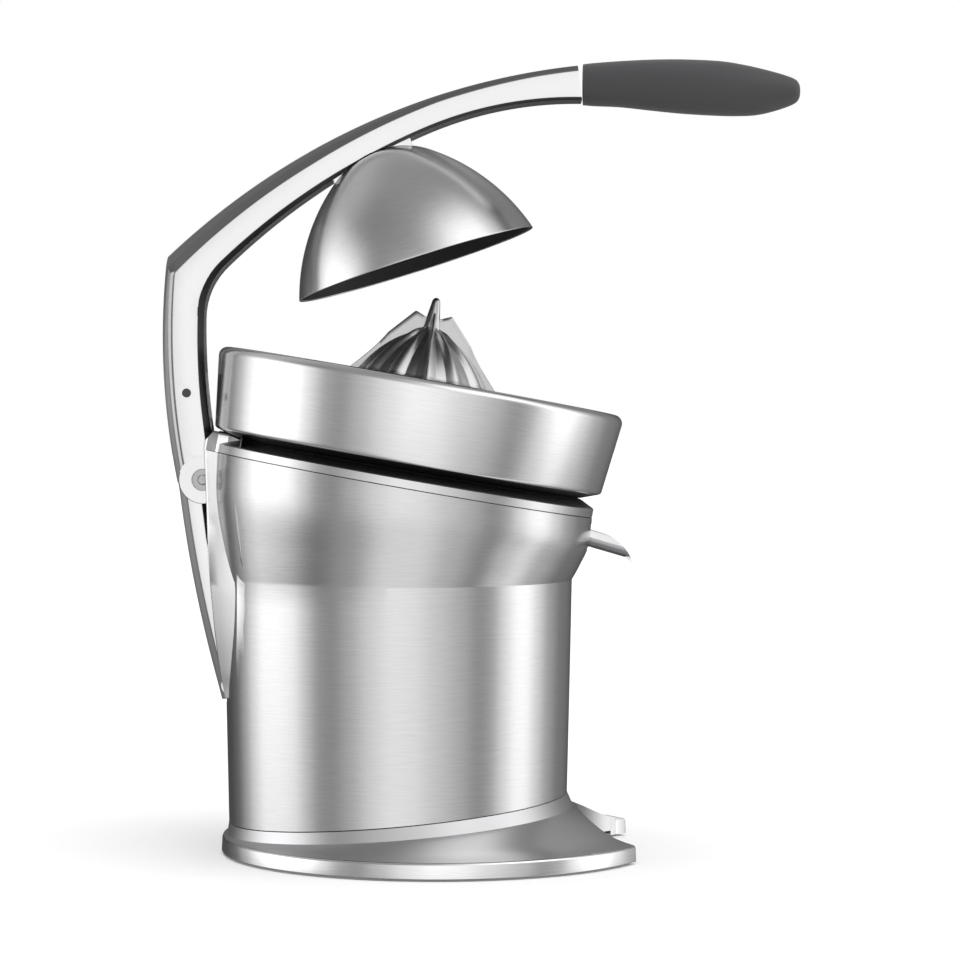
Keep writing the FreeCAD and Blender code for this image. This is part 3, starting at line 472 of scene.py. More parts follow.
def cover(rings):
    """Closed surface over rings that all have the same number of points."""
    size = len(rings[0])
    verts = [point for ring in rings for point in ring]
    faces = []
    for low in range(0, len(verts) - size, size):
        faces += bridge(range(low, low + size), range(low + size, low + 2 * size))
    return verts, faces + [tuple(range(size)), tuple(range(len(verts) - size, len(verts)))]


def skin(name, rings, material, body, node, sharp=32):
    return keep_mesh(name, *cover(rings), material, body, node, sharp)


def ring_helper(rings):
    return helper("ring_tool", *cover(rings))


def carve(piece, cutter, how="DIFFERENCE"):
    """Applies a boolean between two pieces and drops the second."""
    change = piece.modifiers.new("carve", "BOOLEAN")
    change.operation = how
    change.solver = "EXACT"
    change.object = cutter
    view = bpy.context.evaluated_depsgraph_get()
    mesh = bpy.data.meshes.new_from_object(piece.evaluated_get(view))
    piece.modifiers.clear()
    old = piece.data
    piece.data = mesh
    bpy.data.meshes.remove(old)
    bpy.data.objects.remove(cutter)


def prism(outline, low, high, matrix=UPRIGHT, side=False):
    """A straight block of any outline, upright or lying along Y."""
    return ring_helper([[matrix @ Vector((x, level, y) if side else (x, y, level)) for x, y in outline]
                        for level in (low, high)])


def crossbar(outline, half, matrix=UPRIGHT):
    """A block that lies evenly across the middle of the press."""
    return prism(outline, -half, half, matrix, side=True)


def between(low, high, t):
    return low + (high - low) * t


def smooth_rows(rows, parts):
    """More rows of numbers between the given ones, on a smooth curve through them."""
    made = []
    for index in range(len(rows) - 1):
        before = rows[max(0, index - 1)]
        here, there = rows[index], rows[index + 1]
        after = rows[min(len(rows) - 1, index + 2)]
        for k in range(parts):
            t = k / parts
            made.append([0.5 * (2 * b + (c - a) * t + (2 * a - 5 * b + 4 * c - d) * t * t
                                + (3 * b - a - 3 * c + d) * t ** 3)
                         for a, b, c, d in zip(before, here, there, after)])
    made.append(list(rows[-1]))
    return made


def inset(outline, gap):
    """The same closed outline moved inwards by a gap."""
    points = [Vector(point[:2]) for point in outline]
    area = sum(a.x * b.y - b.x * a.y for a, b in zip(points, points[1:] + points[:1]))
    side = 1 if area > 0 else -1
    made = []
    for index, here in enumerate(points):
        before = (here - points[index - 1]).normalized()
        after = (points[(index + 1) % len(points)] - here).normalized()
        first = Vector((-before.y, before.x)) * side
        second = Vector((-after.y, after.x)) * side
        middle = first + second
        made.append(here + middle * (gap / max(0.35, middle.dot(first))))
    return made


def towards(outline, middle, gap):
    """The same outline with each point moved towards a middle by a gap."""
    centre = Vector(middle)
    return [Vector(point) + (centre - Vector(point)).normalized() * gap for point in outline]


def block_rings(outline, low, high, size, parts=3):
    """Levels of a block whose edges are rounded off by a size."""
    turns = [math.pi / 2 * k / parts for k in range(parts + 1)]
    levels = [(size * (1 - math.sin(turn)), size * (1 - math.cos(turn))) for turn in turns]
    rings = [(inset(outline, gap), low + rise) for gap, rise in levels]
    return rings + [(inset(outline, gap), high - rise) for gap, rise in reversed(levels)]


# Finishes

HOUSING_STEEL = brushed_metal("housing_steel", 0.76, 0.19, HOUSING, run=7.0)
BOWL_STEEL = brushed_metal("bowl_steel", 0.88, 0.19, DECK, run=7.0)
DOME_STEEL = brushed_metal("dome_steel", 0.80, 0.25, DOME, depth=0.000008)
RING_STEEL = brushed_metal("ring_steel", 0.95, 0.16, depth=0.000008)
BASKET_STEEL = brushed_metal("basket_steel", 0.72, 0.26, DECK)
CONE_STEEL = satin_finish("cone_steel", (0.74, 0.74, 0.74), 0.36, 1.0, depth=0.000012)
ARM_CASTING = satin_finish("arm_casting", (0.93, 0.93, 0.93), 0.28, 1.0, depth=0.000006, patchy=0.02)
# Painted shade: darker copies of the arm's casting, which paint_edges puts on the bevels
ARM_EDGE_SHADE = satin_finish("arm_edge_painted_shade", (0.28, 0.28, 0.285), 0.42, 1.0)
ARM_SHADE = satin_finish("arm_shade", (0.09, 0.09, 0.092), 0.45, 1.0)
FOOT_CASTING = satin_finish("foot_enamel", (0.74, 0.74, 0.75), 0.30, 1.0, depth=0.000015)
DECK_CASTING = satin_finish("deck_casting", (0.78, 0.78, 0.79), 0.25, 1.0, depth=0.000008, patchy=0.04)
# Painted shade: a dark copy of the deck's casting for the deck's top under the bowl and for the bowl's
# underside
DECK_SHADE = satin_finish("deck_shade", (0.10, 0.10, 0.102), 0.4, 1.0, depth=0.000015)
# Painted shade: a grey copy of the deck's casting for the faces of its hump
DECK_HUMP_SHADE = satin_finish("deck_hump_painted_shade", (0.24, 0.24, 0.244), 0.34, 1.0, depth=0.00001, patchy=0.04)
SPOUT_STEEL = satin_finish("spout_steel", (0.78, 0.78, 0.79), 0.24, 1.0, depth=0.000012)
DIE_CASTING = satin_finish("die_casting", (0.48, 0.49, 0.50), 0.48, 1.0, fineness=900.0, depth=0.00006)
GRIP_RUBBER = satin_finish("grip_rubber", (0.045, 0.045, 0.048), 0.55, fineness=2400.0, depth=0.00004,
                           sheen=0.15)
SOFT_RUBBER = satin_finish("soft_rubber", (0.025, 0.025, 0.026), 0.7, fineness=1400.0, depth=0.00004)
DARK_PLASTIC = satin_finish("dark_plastic", (0.05, 0.05, 0.052), 0.5, fineness=1200.0, depth=0.00003)
LINER_PLASTIC = satin_finish("liner_plastic", (0.02, 0.02, 0.021), 0.6, fineness=1200.0, depth=0.00003)
SINTERED_BRONZE = satin_finish("sintered_bronze", (0.60, 0.42, 0.22), 0.42, 1.0, fineness=700.0,
                               depth=0.00005)
BRASS = satin_finish("cut_brass", (0.72, 0.53, 0.24), 0.3, 1.0, fineness=900.0, depth=0.00001)
RED_PLASTIC = satin_finish("red_plastic", (0.55, 0.05, 0.04), 0.4, fineness=1200.0)
GEAR_PLASTIC = satin_finish("gear_plastic", (0.75, 0.73, 0.66), 0.42, fineness=900.0)
PLATED_CAN = satin_finish("plated_can", (0.30, 0.30, 0.31), 0.34, 1.0, fineness=700.0, depth=0.00003)
PIN_STEEL = satin_finish("pin_steel", (0.50, 0.50, 0.51), 0.28, 1.0, depth=0.00001)
SOCKET_DARK = satin_finish("socket_dark", (0.10, 0.10, 0.10), 0.5, 1.0, depth=0.00001)
SPRING_STEEL = satin_finish("spring_steel", (0.34, 0.36, 0.42), 0.3, 1.0, depth=0.00001)


# The foot

# Where the round recess for the glass stands, how wide it is and between which heights it is cut
GLASS_AT = (139.9, 0)
GLASS_RADIUS = 65.4
GLASS_LEVELS = (-5, 60)
# Rings of the foot from its hollow underside over the rim to the collar: x, height, radius and lean
FOOT_RIM = [(0, 3.6, 106.1, 0), (0, 1.2, 106.1, 0), (0, 1.2, 109.6, 0), (0, 9.5, 109.6, 0),
            (0, 9.5, 116.1, 0)]
FOOT_SWEEP = [(0, 9.5, 116.4, 0), (-9, 11.9, 106.8, -1.1), (-21, 17.4, 93.5, -4.4)]
FOOT_COLLAR = [(-22.1, 23.6, 91.6, -4.9), (-22.1, 23.85, 91.2, -4.9), (-22.1, 23.85, 88, -4.9)]
BAND = [(109.7, 1.2), (117.2, 1.2), (116.9, 8.4), (116.2, 9.4), (109.7, 9.4)]


def leaning_rings(rows, less=0):
    """Rings from rows of x, height, radius and lean, each made smaller by less."""
    return [ring_points(leaning(x, z, tilt), radius - less) for x, z, radius, tilt in rows]


def make_foot():
    rings = leaning_rings(FOOT_RIM + smooth_rows(FOOT_SWEEP, 7) + FOOT_COLLAR)
    casting = skin("foot_casting_shape", rings, FOOT_CASTING, "root", "foot_casting")
    band = lathe("base_band", BAND, UPRIGHT, RING_STEEL, "root", "base_ring", size=0.5)
    for piece, finish in ((casting, FOOT_CASTING), (band, RING_STEEL)):
        carve(piece, prism(circle(*GLASS_AT, GLASS_RADIUS), *GLASS_LEVELS))
        settle(piece, finish)


# The housing

# The wall's rings from the foot up: x, height, radius and lean; the inside is cut past both ends
WALL_ROWS = [(-22.1, 24.15, 91.5, -4.9), (-22.1, 146.3, 93.8, 0), (-21.2, 160.2, 97.4, 3.6),
             (-19.9, 179, 101.9, 7.6), (-18.9, 197.4, 103, 10)]
WALL_THICK = 2.2
WALL_PAST = 6
# Side views and half widths of the slot for the links and of the spout's opening
SLOT = [(-101.5, 80.5), (-101.5, 199), (-113.5, 207), (-119.5, 212.5), (-119.5, 235), (-140, 235),
        (-140, 80.5)]
SLOT_HALF = 14.2
SLOT_WALL = [(-97, 78), (-97, 210.8), (-121.2, 215.1), (-112.8, 78)]
SLOT_WALL_HALF = 17.2
SPOUT_EARS = (68, 79.6, 163.5, 177.5)
SPOUT_EARS_HALF = 14.6
SPOUT_ROOM = (60, 95, 161.8, 176.4)
SPOUT_ROOM_HALF = 11.6
# Height, x of the back, crease (x, y) and where the narrow leaf meets the round wall (x, y)
PILLAR = [(84, -114.2, -110.5, 28, -109.3, 30.6), (90, -115.6, -108.6, 31.5, -107.4, 35.8),
          (99, -117.2, -107, 37, -104.6, 42.1), (118.5, -119.9, -105.8, 43.5, -101.5, 48.5),
          (139, -122, -105.5, 45.5, -100.9, 50.2), (150, -122.8, -105.7, 44, -101.2, 51.1),
          (160, -123.3, -106.3, 42, -102.5, 52.6), (170, -123.7, -106.8, 40, -104, 54),
          (185, -124.3, -107, 38, -105.6, 54)]
PILLAR_TOP = (-108.2, -88.2, 36, -86.6, 54.9)
PILLAR_BACK = 15.6
PILLAR_INSIDE = (-80, 30)


def wall_rings(less=0, past=0):
    """Rings of the round wall, made smaller by less and longer by past at both ends."""
    foot, corner = WALL_ROWS[:2]
    rows = [[between(low, high, k / 10) for low, high in zip(foot, corner)] for k in range(10)]
    rows += smooth_rows(WALL_ROWS[1:], 6)
    if past:
        rows = [raised(WALL_ROWS[0], -past)] + rows + [raised(WALL_ROWS[-1], past)]
    return leaning_rings(rows, less)


def raised(row, rise):
    x, z, radius, tilt = row
    return (x, z + rise, radius, tilt)


def tail_plan(back, crease, crease_y, side, half):
    """Plan of the pillar at one height: a bent flank, a crease and a narrow leaf up to the wall."""
    deep, wide = crease - back, crease_y - PILLAR_BACK
    spare = max(0.12 * wide, wide - 1.2 * deep)
    main = wide - spare
    # The flank turns quickly at its two ends and runs nearly straight between them
    shares = [(0, 0), (0.02, 0.3 * spare), (0.07, 0.55 * spare), (0.35, 0.55 * spare + 0.335 * main),
              (0.65, 0.55 * spare + 0.67 * main), (0.97, wide - 0.45 * spare), (1, wide)]
    flank = [(back + part * deep, PILLAR_BACK + reach) for part, reach in shares]
    one = [PILLAR_INSIDE, (side + 0.6, half - 0.2), (side, half)] + flank[::-1]
    return [(x, -y) for x, y in one] + one[::-1]


def pillar_rings():
    rows = smooth_rows(PILLAR, 3)
    rings = [[Vector((x, y, row[0])) for x, y in tail_plan(*row[1:])] for row in rows]
    rings.append([DECK @ Vector((x, y, 0)) for x, y in tail_plan(*PILLAR_TOP)])
    return rings


def make_housing():
    wall = ring_helper(wall_rings())
    carve(wall, ring_helper(pillar_rings()), "UNION")
    carve(wall, ring_helper(wall_rings(WALL_THICK, WALL_PAST)))
    carve(wall, crossbar(SLOT_WALL, SLOT_WALL_HALF), "UNION")
    carve(wall, crossbar(SLOT, SLOT_HALF))
    carve(wall, crossbar(box(*SPOUT_EARS), SPOUT_EARS_HALF), "UNION")
    carve(wall, crossbar(box(*SPOUT_ROOM), SPOUT_ROOM_HALF))
    keep(wall, "motor_housing_shape", HOUSING_STEEL, "root", "motor_housing", sharp=13)


def shade_part(piece, finish, matrix, choose):
    """A second finish, here painted shade, on faces chosen by radius, height and upward slope in the
    matrix's own frame.
    """
    mesh = piece.data
    mesh.materials.append(finish)
    back = matrix.inverted()
    turn = back.to_3x3()
    for face in mesh.polygons:
        place = back @ (face.center / MM)
        if choose(math.hypot(place.x, place.y), place.z, (turn @ face.normal).z):
            face.material_index = len(mesh.materials) - 1


# The deck

DECK_OUTLINE = [(15.05, -6), (22, -6), (22, 0.3), (102.7, 0.3), (103, 0.6), (103, 4.6), (102.5, 5.1),
                (95.3, 8.7), (95.3, 3), (24, 3), (22, 8.8), (15.05, 8.8)]
DECK_TAIL = (-108.6, *PILLAR_TOP[1:])
# How far the tail draws in towards its middle, and at which height over the deck's underside
TAIL_MIDDLE = (-88, 0)
TAIL_LEVELS = [(0, 0.3), (0, 9.6), (0.5, 10.6), (1.5, 11)]
BOWL_ROOM = [(70, 3), (95.3, 3), (95.3, 8.7), (107, 13.3), (107, 20), (70, 20)]
TAIL_WEDGE = [(-112, 4.7), (-108.7, 4.7), (-104.5, 10.9), (-104.5, 14), (-112, 14)]
TAIL_WEDGE_HALF = 60
LINK_GAP = (-115, -102.2, -14.2, 14.2)
LINK_GAP_LEVELS = (-1, 12)
DRAIN_AT = (79, 0)
DRAIN_RADIUS = 6.9
DRAIN_LEVELS = (-1, 5)
# Dark painted shade is on faces that look up inside the edge, and the hump's grey painted shade on those
# outside the bowl's seat
SHADE_SLOPE = 0.4
SHADE_INSIDE = 102
SHADE_OVER = 2
HUMP_OUTSIDE = 84
HUMP_OVER = 5.3


def make_deck():
    deck = turned_helper(DECK_OUTLINE, DECK)
    tail = tail_plan(*DECK_TAIL)
    rings = [[DECK @ Vector((x, y, level)) for x, y in towards(tail, TAIL_MIDDLE, gap)]
             for gap, level in TAIL_LEVELS]
    carve(deck, ring_helper(rings), "UNION")
    carve(deck, turned_helper(BOWL_ROOM, DECK))
    carve(deck, crossbar(TAIL_WEDGE, TAIL_WEDGE_HALF, DECK))
    carve(deck, prism(box(*LINK_GAP), *LINK_GAP_LEVELS, DECK))
    carve(deck, prism(circle(*DRAIN_AT, DRAIN_RADIUS, NARROW), *DRAIN_LEVELS, DECK))
    keep(deck, "top_deck_shape", DECK_CASTING, "root", "top_deck", sharp=28)
    # Painted shade on the deck's top under the bowl and on its hump
    shade_part(deck, DECK_SHADE, DECK, lambda radius, height, up:
               up > SHADE_SLOPE and radius < SHADE_INSIDE and height > SHADE_OVER)
    shade_part(deck, DECK_HUMP_SHADE, DECK, lambda radius, height, up:
               radius > HUMP_OUTSIDE and height > HUMP_OVER)


# Bowl and cone

BOWL = [(9, 9.3), (94.5, 9.3), (104.35, 12.83), (105.65, 14.46, 2), (105.79, 15.6), (106.06, 17.8),
        (110.2, 52), (105.8, 56.6, 4.7), (105.8, 55), (108.5, 51.8, -3.1), (104.1, 16.6), (94, 10.9),
        (11.2, 10.9), (11.2, 47), (9, 47)]
BOWL_DRAIN = [(5, -3), (6.2, -3), (6.2, 9.8), (5, 9.8)]
# Dark painted shade is on the bowl's underside below its lower corner
BOWL_UNDER = -0.8
BOWL_CORNER = 12.7


def make_bowl():
    bowl = lathe("juice_bowl_shape", BOWL, DECK, BOWL_STEEL, "bowl", "juice_bowl", size=0.5)
    # Painted shade on the bowl's underside
    shade_part(bowl, DECK_SHADE, DECK, lambda radius, height, up:
               up < BOWL_UNDER and height < BOWL_CORNER)
    lathe("juice_bowl_drain", BOWL_DRAIN, DECK, BOWL_STEEL, "bowl", "juice_bowl", size=0.2, turns=NARROW,
          centre=DRAIN_AT)


FINIAL = [(0, 102.3), (1.1, 102.0), (2.1, 100.8), (3.8, 90.3)]
CONE_CREST = [*FINIAL, (4.9, 85.7), (6.4, 85.0), (12.9, 81.6, -14), (34.6, 59.2, -72), (44.9, 46.6),
              (46.9, 45.1), (47, 43.5)]
CONE_VALLEY = [*FINIAL, (4.9, 84.3), (11.2, 79.9, -14), (32, 58.4, -70), (43.6, 46.2), (46.9, 45.0),
               (47, 43.5)]
CONE_UNDER = [(42.6, 43.5), (30, 55.8), (15.5, 70), (9.5, 71), (9.1, 52), (6.2, 50.5), (6.2, 66)]
CONE_TURN = math.radians(4)
CONE_RIBS = 12
RIB_SIDES = 48
CONE_LEVELS = 110
# Above 1, so that the valleys have a floor and are wider than the ribs
VALLEY_SHARE = 1.35


def evenly(line, count):
    """Points spread evenly along a row of points."""
    lengths = [0]
    for a, b in zip(line, line[1:]):
        lengths.append(lengths[-1] + (b - a).length)
    made, index = [], 0
    for k in range(count):
        want = lengths[-1] * k / (count - 1)
        while index < len(lengths) - 2 and lengths[index + 1] < want:
            index += 1
        span = lengths[index + 1] - lengths[index]
        made.append(line[index].lerp(line[index + 1], (want - lengths[index]) / span if span else 0))
    return made


def by_height(line, height):
    """Radius of an outline that falls steadily, at one height."""
    for a, b in zip(line, line[1:]):
        if a.y >= height >= b.y:
            t = (a.y - height) / (a.y - b.y) if a.y != b.y else 0
            return between(a.x, b.x, t)
    return line[-1].x


def make_cone():
    crest, valley = [follow(line, closed=False, step=0.8) for line in (CONE_CREST, CONE_VALLEY)]
    turns = RIB_SIDES * CONE_RIBS
    rings = []
    for height in [point.y for point in evenly(soften(crest, 0.6, False), CONE_LEVELS)]:
        low, high = by_height(valley, height), by_height(crest, height)
        ring = []
        for angle in angles(turns):
            across = math.sin(CONE_RIBS / 2 * (angle - CONE_TURN)) ** 2
            radius = high - (high - low) * min(1, across * VALLEY_SHARE)
            ring.append(DECK @ Vector((radius * math.cos(angle), radius * math.sin(angle), height)))
        rings.append(ring)
    rings += [ring_points(DECK, radius, height, turns) for radius, height in CONE_UNDER]
    skin("reamer_cone_shape", rings, CONE_STEEL, "cone", "reamer_cone", sharp=50)


FIN = [(2.2, 88), (3.3, 90.9), (9.9, 93.7), (22.7, 79.6), (32.4, 66.1, 90), (46.8, 50), (46.8, 45.2)]
FIN_ROOT = [(0.8, 86), (1.2, 84), (6, 81), (18, 71), (28, 60), (42, 46), (43.5, 44.5)]
# Section of a fin: how far out from the root as a share, and the distance from its middle
FIN_SECTION = [(0, -1.7), (0.75, -0.85), (0.96, -0.6), (1, -0.25), (1, 0.25), (0.96, 0.6),
               (0.75, 0.85), (0, 1.7)]
FIN_LEVELS = 60


def make_fins():
    """Four tall blades that stand out of the cone, thin at the edge and thicker at the root."""
    outer, root = [evenly(follow(line, closed=False, step=1.0), FIN_LEVELS) for line in (FIN, FIN_ROOT)]
    count = len(FIN_SECTION)
    verts, faces = [], []
    for turn in range(4):
        angle = CONE_TURN + math.pi / 2 * turn
        along = Vector((math.cos(angle), math.sin(angle), 0))
        aside = Vector((-math.sin(angle), math.cos(angle), 0))
        start = len(verts)
        for edge, base in zip(outer, root):
            for share, thick in FIN_SECTION:
                point = base.lerp(edge, share)
                verts.append(DECK @ (along * point.x + aside * thick + Vector((0, 0, point.y))))
        for low in range(start, len(verts) - count, count):
            for k in range(low, low + count - 1):
                faces.append((k, k + 1, k + 1 + count, k + count))
        faces.append(tuple(range(start, start + count)))
        faces.append(tuple(range(len(verts) - count, len(verts))))
    keep_mesh("reamer_fins", verts, faces, CONE_STEEL, "cone", "reamer_cone", sharp=40)


# The arm and its links

TAIL_PIN = (-111, 90)
ARM_PIN = (-126.5, 200.1)
CROSS_PIN = (-135, 246.6)
ARM_HALF = 13.6
KNEE = (-146, 319.9)
MITRE = math.radians(-62.2)
STEM = [(-140.3, 198.6), (*KNEE, -397)]
ARCH = [KNEE, (74.5, 422.2, -380)]
# The underside, from the grip back to the pivot: heading in degrees, then arcs of radius and angle
INNER_START = (76.8, 403.5)
INNER_HEADING = 178.97
INNER_ARCS = [(202.1, 24.44), (358.4, 20.73), (38.5, 44.3), (352.9, 10.33)]
INNER_END = (-121.5, 211.4)


def inner_curve():
    """Underside of the arm, as arcs that run smoothly into each other."""
    x, z = INNER_START
    heading = INNER_HEADING
    made = [INNER_START]
    for radius, angle in INNER_ARCS:
        first, last = math.radians(heading), math.radians(heading + angle)
        x += radius * (math.sin(last) - math.sin(first))
        z += radius * (math.cos(first) - math.cos(last))
        heading += angle
        made.append((x, z, radius))
    return follow(made, closed=False, step=1.0)


def oblique(line, index, span, width, t):
    """Length along a slanting section of a width that is measured square to the edge."""
    made = []
    for start, end, side in ((index - 1, index, -0.001), (index, index + 1, 0.001)):
        if start >= 0 and end < len(line):
            run = line[end] - line[start]
            square = abs(run.x * span.y - run.y * span.x) / (run.length * span.length)
            made.append(width(t + side) / max(0.4, square))
    return sum(made) / len(made)


# Steps in a bar's side: at the seam, at the facet and halfway over the bevel; its least half width
SEAM_WIDE = 0.8
SEAM_IN = 0.45
FACET_IN = 0.6
BEVEL_BREAK = 0.38
BAR_LEAST = 3
BAR_SOFT = 0.5


def bar_section(half, length, lip, rim, facet, seam):
    """Half of a bar's section, from its inner edge to its outer one."""
    bevel = rim - facet - seam
    deep = min(bevel, half - BAR_LEAST)
    return [(half - lip, 0), (half, lip), (half, length - rim), (half - SEAM_IN, length - rim + seam),
            (half - FACET_IN, length - bevel), (half - FACET_IN - BEVEL_BREAK * deep, length - bevel / 2),
            (half - FACET_IN - deep, length)]


def bar_rings(outer, inner, half_at, rims, lips, facets):
    """Sections of a bevelled bar between its outer and inner edges."""
    rings = []
    for index, (there, here) in enumerate(zip(outer, inner)):
        t = index / (len(outer) - 1)
        half = half_at(there.x)
        span = there - here
        length = span.length
        rim = oblique(outer, index, span, rims, t)
        lip = oblique(inner, index, span, lips, t)
        scale = rim / rims(t)
        near = bar_section(half, length, lip, rim, facets(t) * scale, SEAM_WIDE * scale)
        section = [Vector(point) for point in near] + [Vector((-y, s)) for y, s in near[::-1]]
        line = soften(section, BAR_SOFT, limit=-1, parts=2)
        rings.append([Vector((here.x + span.x * s / length, y, here.y + span.y * s / length))
                      for y, s in line])
    return rings


ARM_TAPER = 2.4
TAPER_FROM = -70
TAPER_OVER = 150
# Along the arm as a share from pivot to grip: the knee, the widths outside the flat side and the lip
KNEE_AT = 1 / 3
STEM_RIM = 5.8
ARCH_RIMS = [(0, 9.9), (0.17, 8.9), (0.39, 7.4), (0.55, 5.5), (0.69, 3.9), (0.91, 3.2), (1.01, 3.2)]
STEM_FACET = 1.7
ARCH_FACET = 0.1
ARM_LIPS = [(-0.01, 0.6), (0.06, 3.4), (KNEE_AT, 2.9), (0.45, 2.8), (0.7, 1.8), (1.01, 1.5)]


def arm_half_at(x):
    return ARM_HALF - ARM_TAPER * min(1, max(0, (x - TAPER_FROM) / TAPER_OVER))


def steps(stops, at):
    """Straight runs between stops of position and value."""
    for (low, first), (high, last) in zip(stops, stops[1:]):
        if at <= high:
            return between(first, last, (at - low) / (high - low))
    return stops[-1][1]


def arm_rims(t):
    """Even along the stem, widest after the knee and narrow at the grip."""
    return STEM_RIM if t < KNEE_AT else steps(ARCH_RIMS, (t - KNEE_AT) / (1 - KNEE_AT))


def arm_facets(t):
    return STEM_FACET if t < KNEE_AT else ARCH_FACET


# Faces of the bevels that get painted shade: how far they turn to the side, how far they lie from the
# middle, and where out is
BEVEL_TURN = (0.2, 0.93)
BEVEL_FROM = 6
OUTWARD = Vector((-0.6, 0, 0.8))


def paint_edges(piece):
    """Painted shade on the slanting faces: grey on the outer bevels, near black on the inner ones."""
    mesh = piece.data
    mesh.materials.append(ARM_EDGE_SHADE)
    mesh.materials.append(ARM_SHADE)
    for face in mesh.polygons:
        if BEVEL_TURN[0] < abs(face.normal.y) < BEVEL_TURN[1] and abs(face.center.y) > BEVEL_FROM * MM:
            face.material_index = 1 if face.normal.dot(OUTWARD) > 0 else 2


UNDER_POINTS = 900
STEM_SECTIONS = 31
ARCH_SECTIONS = 61
# The knuckle round the pivot, the room for the links and for the dome's carrier, and the pins' seats
KNUCKLE = 12.4
CHANNEL = [(-137.2, 180), (-143.6, 236), (-144, 258), (-112, 258), (-100, 220), (-100, 180)]
CHANNEL_HALF = 9
SEAT = [(-29.2, 45), (17.7, 45), (17.7, 66.6), (15.2, 69.2), (-26.7, 69.2), (-29.2, 66.6)]
SEAT_HALF = 10.7
DOME_PLAY = 0.5
KNUCKLE_RIM = [(KNUCKLE, 12.6), (13, 12.6), (13, 15), (KNUCKLE, 15)]
PIN_SEAT = 5.95
CROSS_SEAT = 2.43
SEAT_LEVELS = (12.1, 15)
PIVOT_PIN = [(0, 5.3), (3, 5.3), (3, 12.2), (5.8, 12.2), (5.8, 13.4), (2.9, 13.4), (2.2, 12.9),
             (0, 12.9)]


def arm_sections():
    """The arm's rings; those up to the knee lie along the stem, the others along the arch."""
    stem, arch = follow(STEM, closed=False, step=1.0), follow(ARCH, closed=False, step=1.0)
    under = evenly([Vector(INNER_END)] + inner_curve()[::-1], UNDER_POINTS)
    mitre = Vector((math.cos(MITRE), math.sin(MITRE)))
    turn = min(range(UNDER_POINTS), key=lambda k: abs(mitre.cross(under[k] - Vector(KNEE))))
    outer = evenly(stem, STEM_SECTIONS)[:-1] + evenly(arch, ARCH_SECTIONS)
    inner = evenly(under[:turn + 1], STEM_SECTIONS)[:-1] + evenly(under[turn:], ARCH_SECTIONS)
    return bar_rings(outer, inner, arm_half_at, arm_rims, lambda t: steps(ARM_LIPS, t), arm_facets)


def make_arm():
    arm = ring_helper(arm_sections())
    carve(arm, crossbar(circle(*ARM_PIN, KNUCKLE, WIDE), ARM_HALF), "UNION")
    carve(arm, crossbar(CHANNEL, CHANNEL_HALF))
    carve(arm, crossbar(SEAT, SEAT_HALF, DOME))
    carve(arm, turned_helper(dome_room(DOME_PLAY), DOME, WIDE))
    pivot = Matrix.Translation((ARM_PIN[0], 0, ARM_PIN[1]))
    sides = [("far", pivot @ Matrix.Rotation(-math.pi / 2, 4, "X")),
             ("near", pivot @ Matrix.Rotation(math.pi / 2, 4, "X"))]
    for _, side in sides:
        carve(arm, turned_helper(KNUCKLE_RIM, side, WIDE))
    low, high = SEAT_LEVELS
    for levels in ((-high, -low), (low, high)):
        carve(arm, prism(circle(*ARM_PIN, PIN_SEAT, MEDIUM), *levels, side=True))
        carve(arm, prism(circle(*CROSS_PIN, CROSS_SEAT, THIN), *levels, side=True))
    keep(arm, "press_arm_shape", ARM_CASTING, "arm", "press_arm", sharp=28)
    # Painted shade on the arm's bevels
    paint_edges(arm)
    for name, side in sides:
        lathe(f"arm_pivot_{name}", PIVOT_PIN, side, PIN_STEEL, "arm", "arm_pivot_pins", size=0.25,
              turns=MEDIUM)


LINK_OUTER = [(-116.5, 82.2), (-119, 91.9), (-139.3, 194.9, -722), (-140.2, 199.8)]
LINK_INNER = [(-105.4, 84.4), (-103.2, 91.7), (-122.4, 168), (-126.5, 200)]
LINK_SECTIONS = 40
LINK_RIM = 4.2
LINK_LIP = 2.0
FOOT_EYE = 5.6
KNUCKLE_ROOM = 12.8
LUG = 9
LUG_HALF = 8.7
LINK_NECK = [(-135.2, 184), (-124.6, 184), (-120, 196), (-135.2, 198)]
GUIDE_ROOM = (-160, -110, 172, 215)
GUIDE_HALF = 5.2
PIN_HOLE = 3.05
RIGHT_THROUGH = 20


def make_tail_link():
    outer, inner = [evenly(follow(line, closed=False, step=2.0), LINK_SECTIONS)
                    for line in (LINK_OUTER, LINK_INNER)]
    link = ring_helper(bar_rings(outer, inner, lambda x: ARM_HALF, lambda t: LINK_RIM, lambda t: LINK_LIP,
                                 lambda t: ARCH_FACET))
    carve(link, crossbar(circle(*TAIL_PIN, FOOT_EYE, MEDIUM), ARM_HALF), "UNION")
    carve(link, crossbar(circle(*ARM_PIN, KNUCKLE_ROOM, WIDE), RIGHT_THROUGH))
    carve(link, crossbar(circle(*ARM_PIN, LUG, MEDIUM), LUG_HALF), "UNION")
    carve(link, crossbar(LINK_NECK, LUG_HALF), "UNION")
    carve(link, crossbar(box(*GUIDE_ROOM), GUIDE_HALF))
    for pin in (ARM_PIN, TAIL_PIN):
        carve(link, crossbar(circle(*pin, PIN_HOLE, THIN), RIGHT_THROUGH))
    keep(link, "tail_link_shape", ARM_CASTING, "tail", "tail_link", sharp=28)
    # Painted shade on the link's bevels
    paint_edges(link)


# x, height and radius
GRIP_ROWS = [(77.6, 412.8, 11.0), (84, 412.9, 11.6), (97.7, 413.1, 12.4), (114.5, 412.6, 13.7),
             (131.8, 411.8, 14.6), (151.2, 410.8, 14.7), (163.6, 409.8, 13.8), (172, 409.2, 12.6),
             (180, 409.1, 10.7), (187.5, 409.2, 8.4), (192.3, 409.3, 6.2), (194.2, 409.3, 3.6),
             (194.5, 409.3, 1.2)]


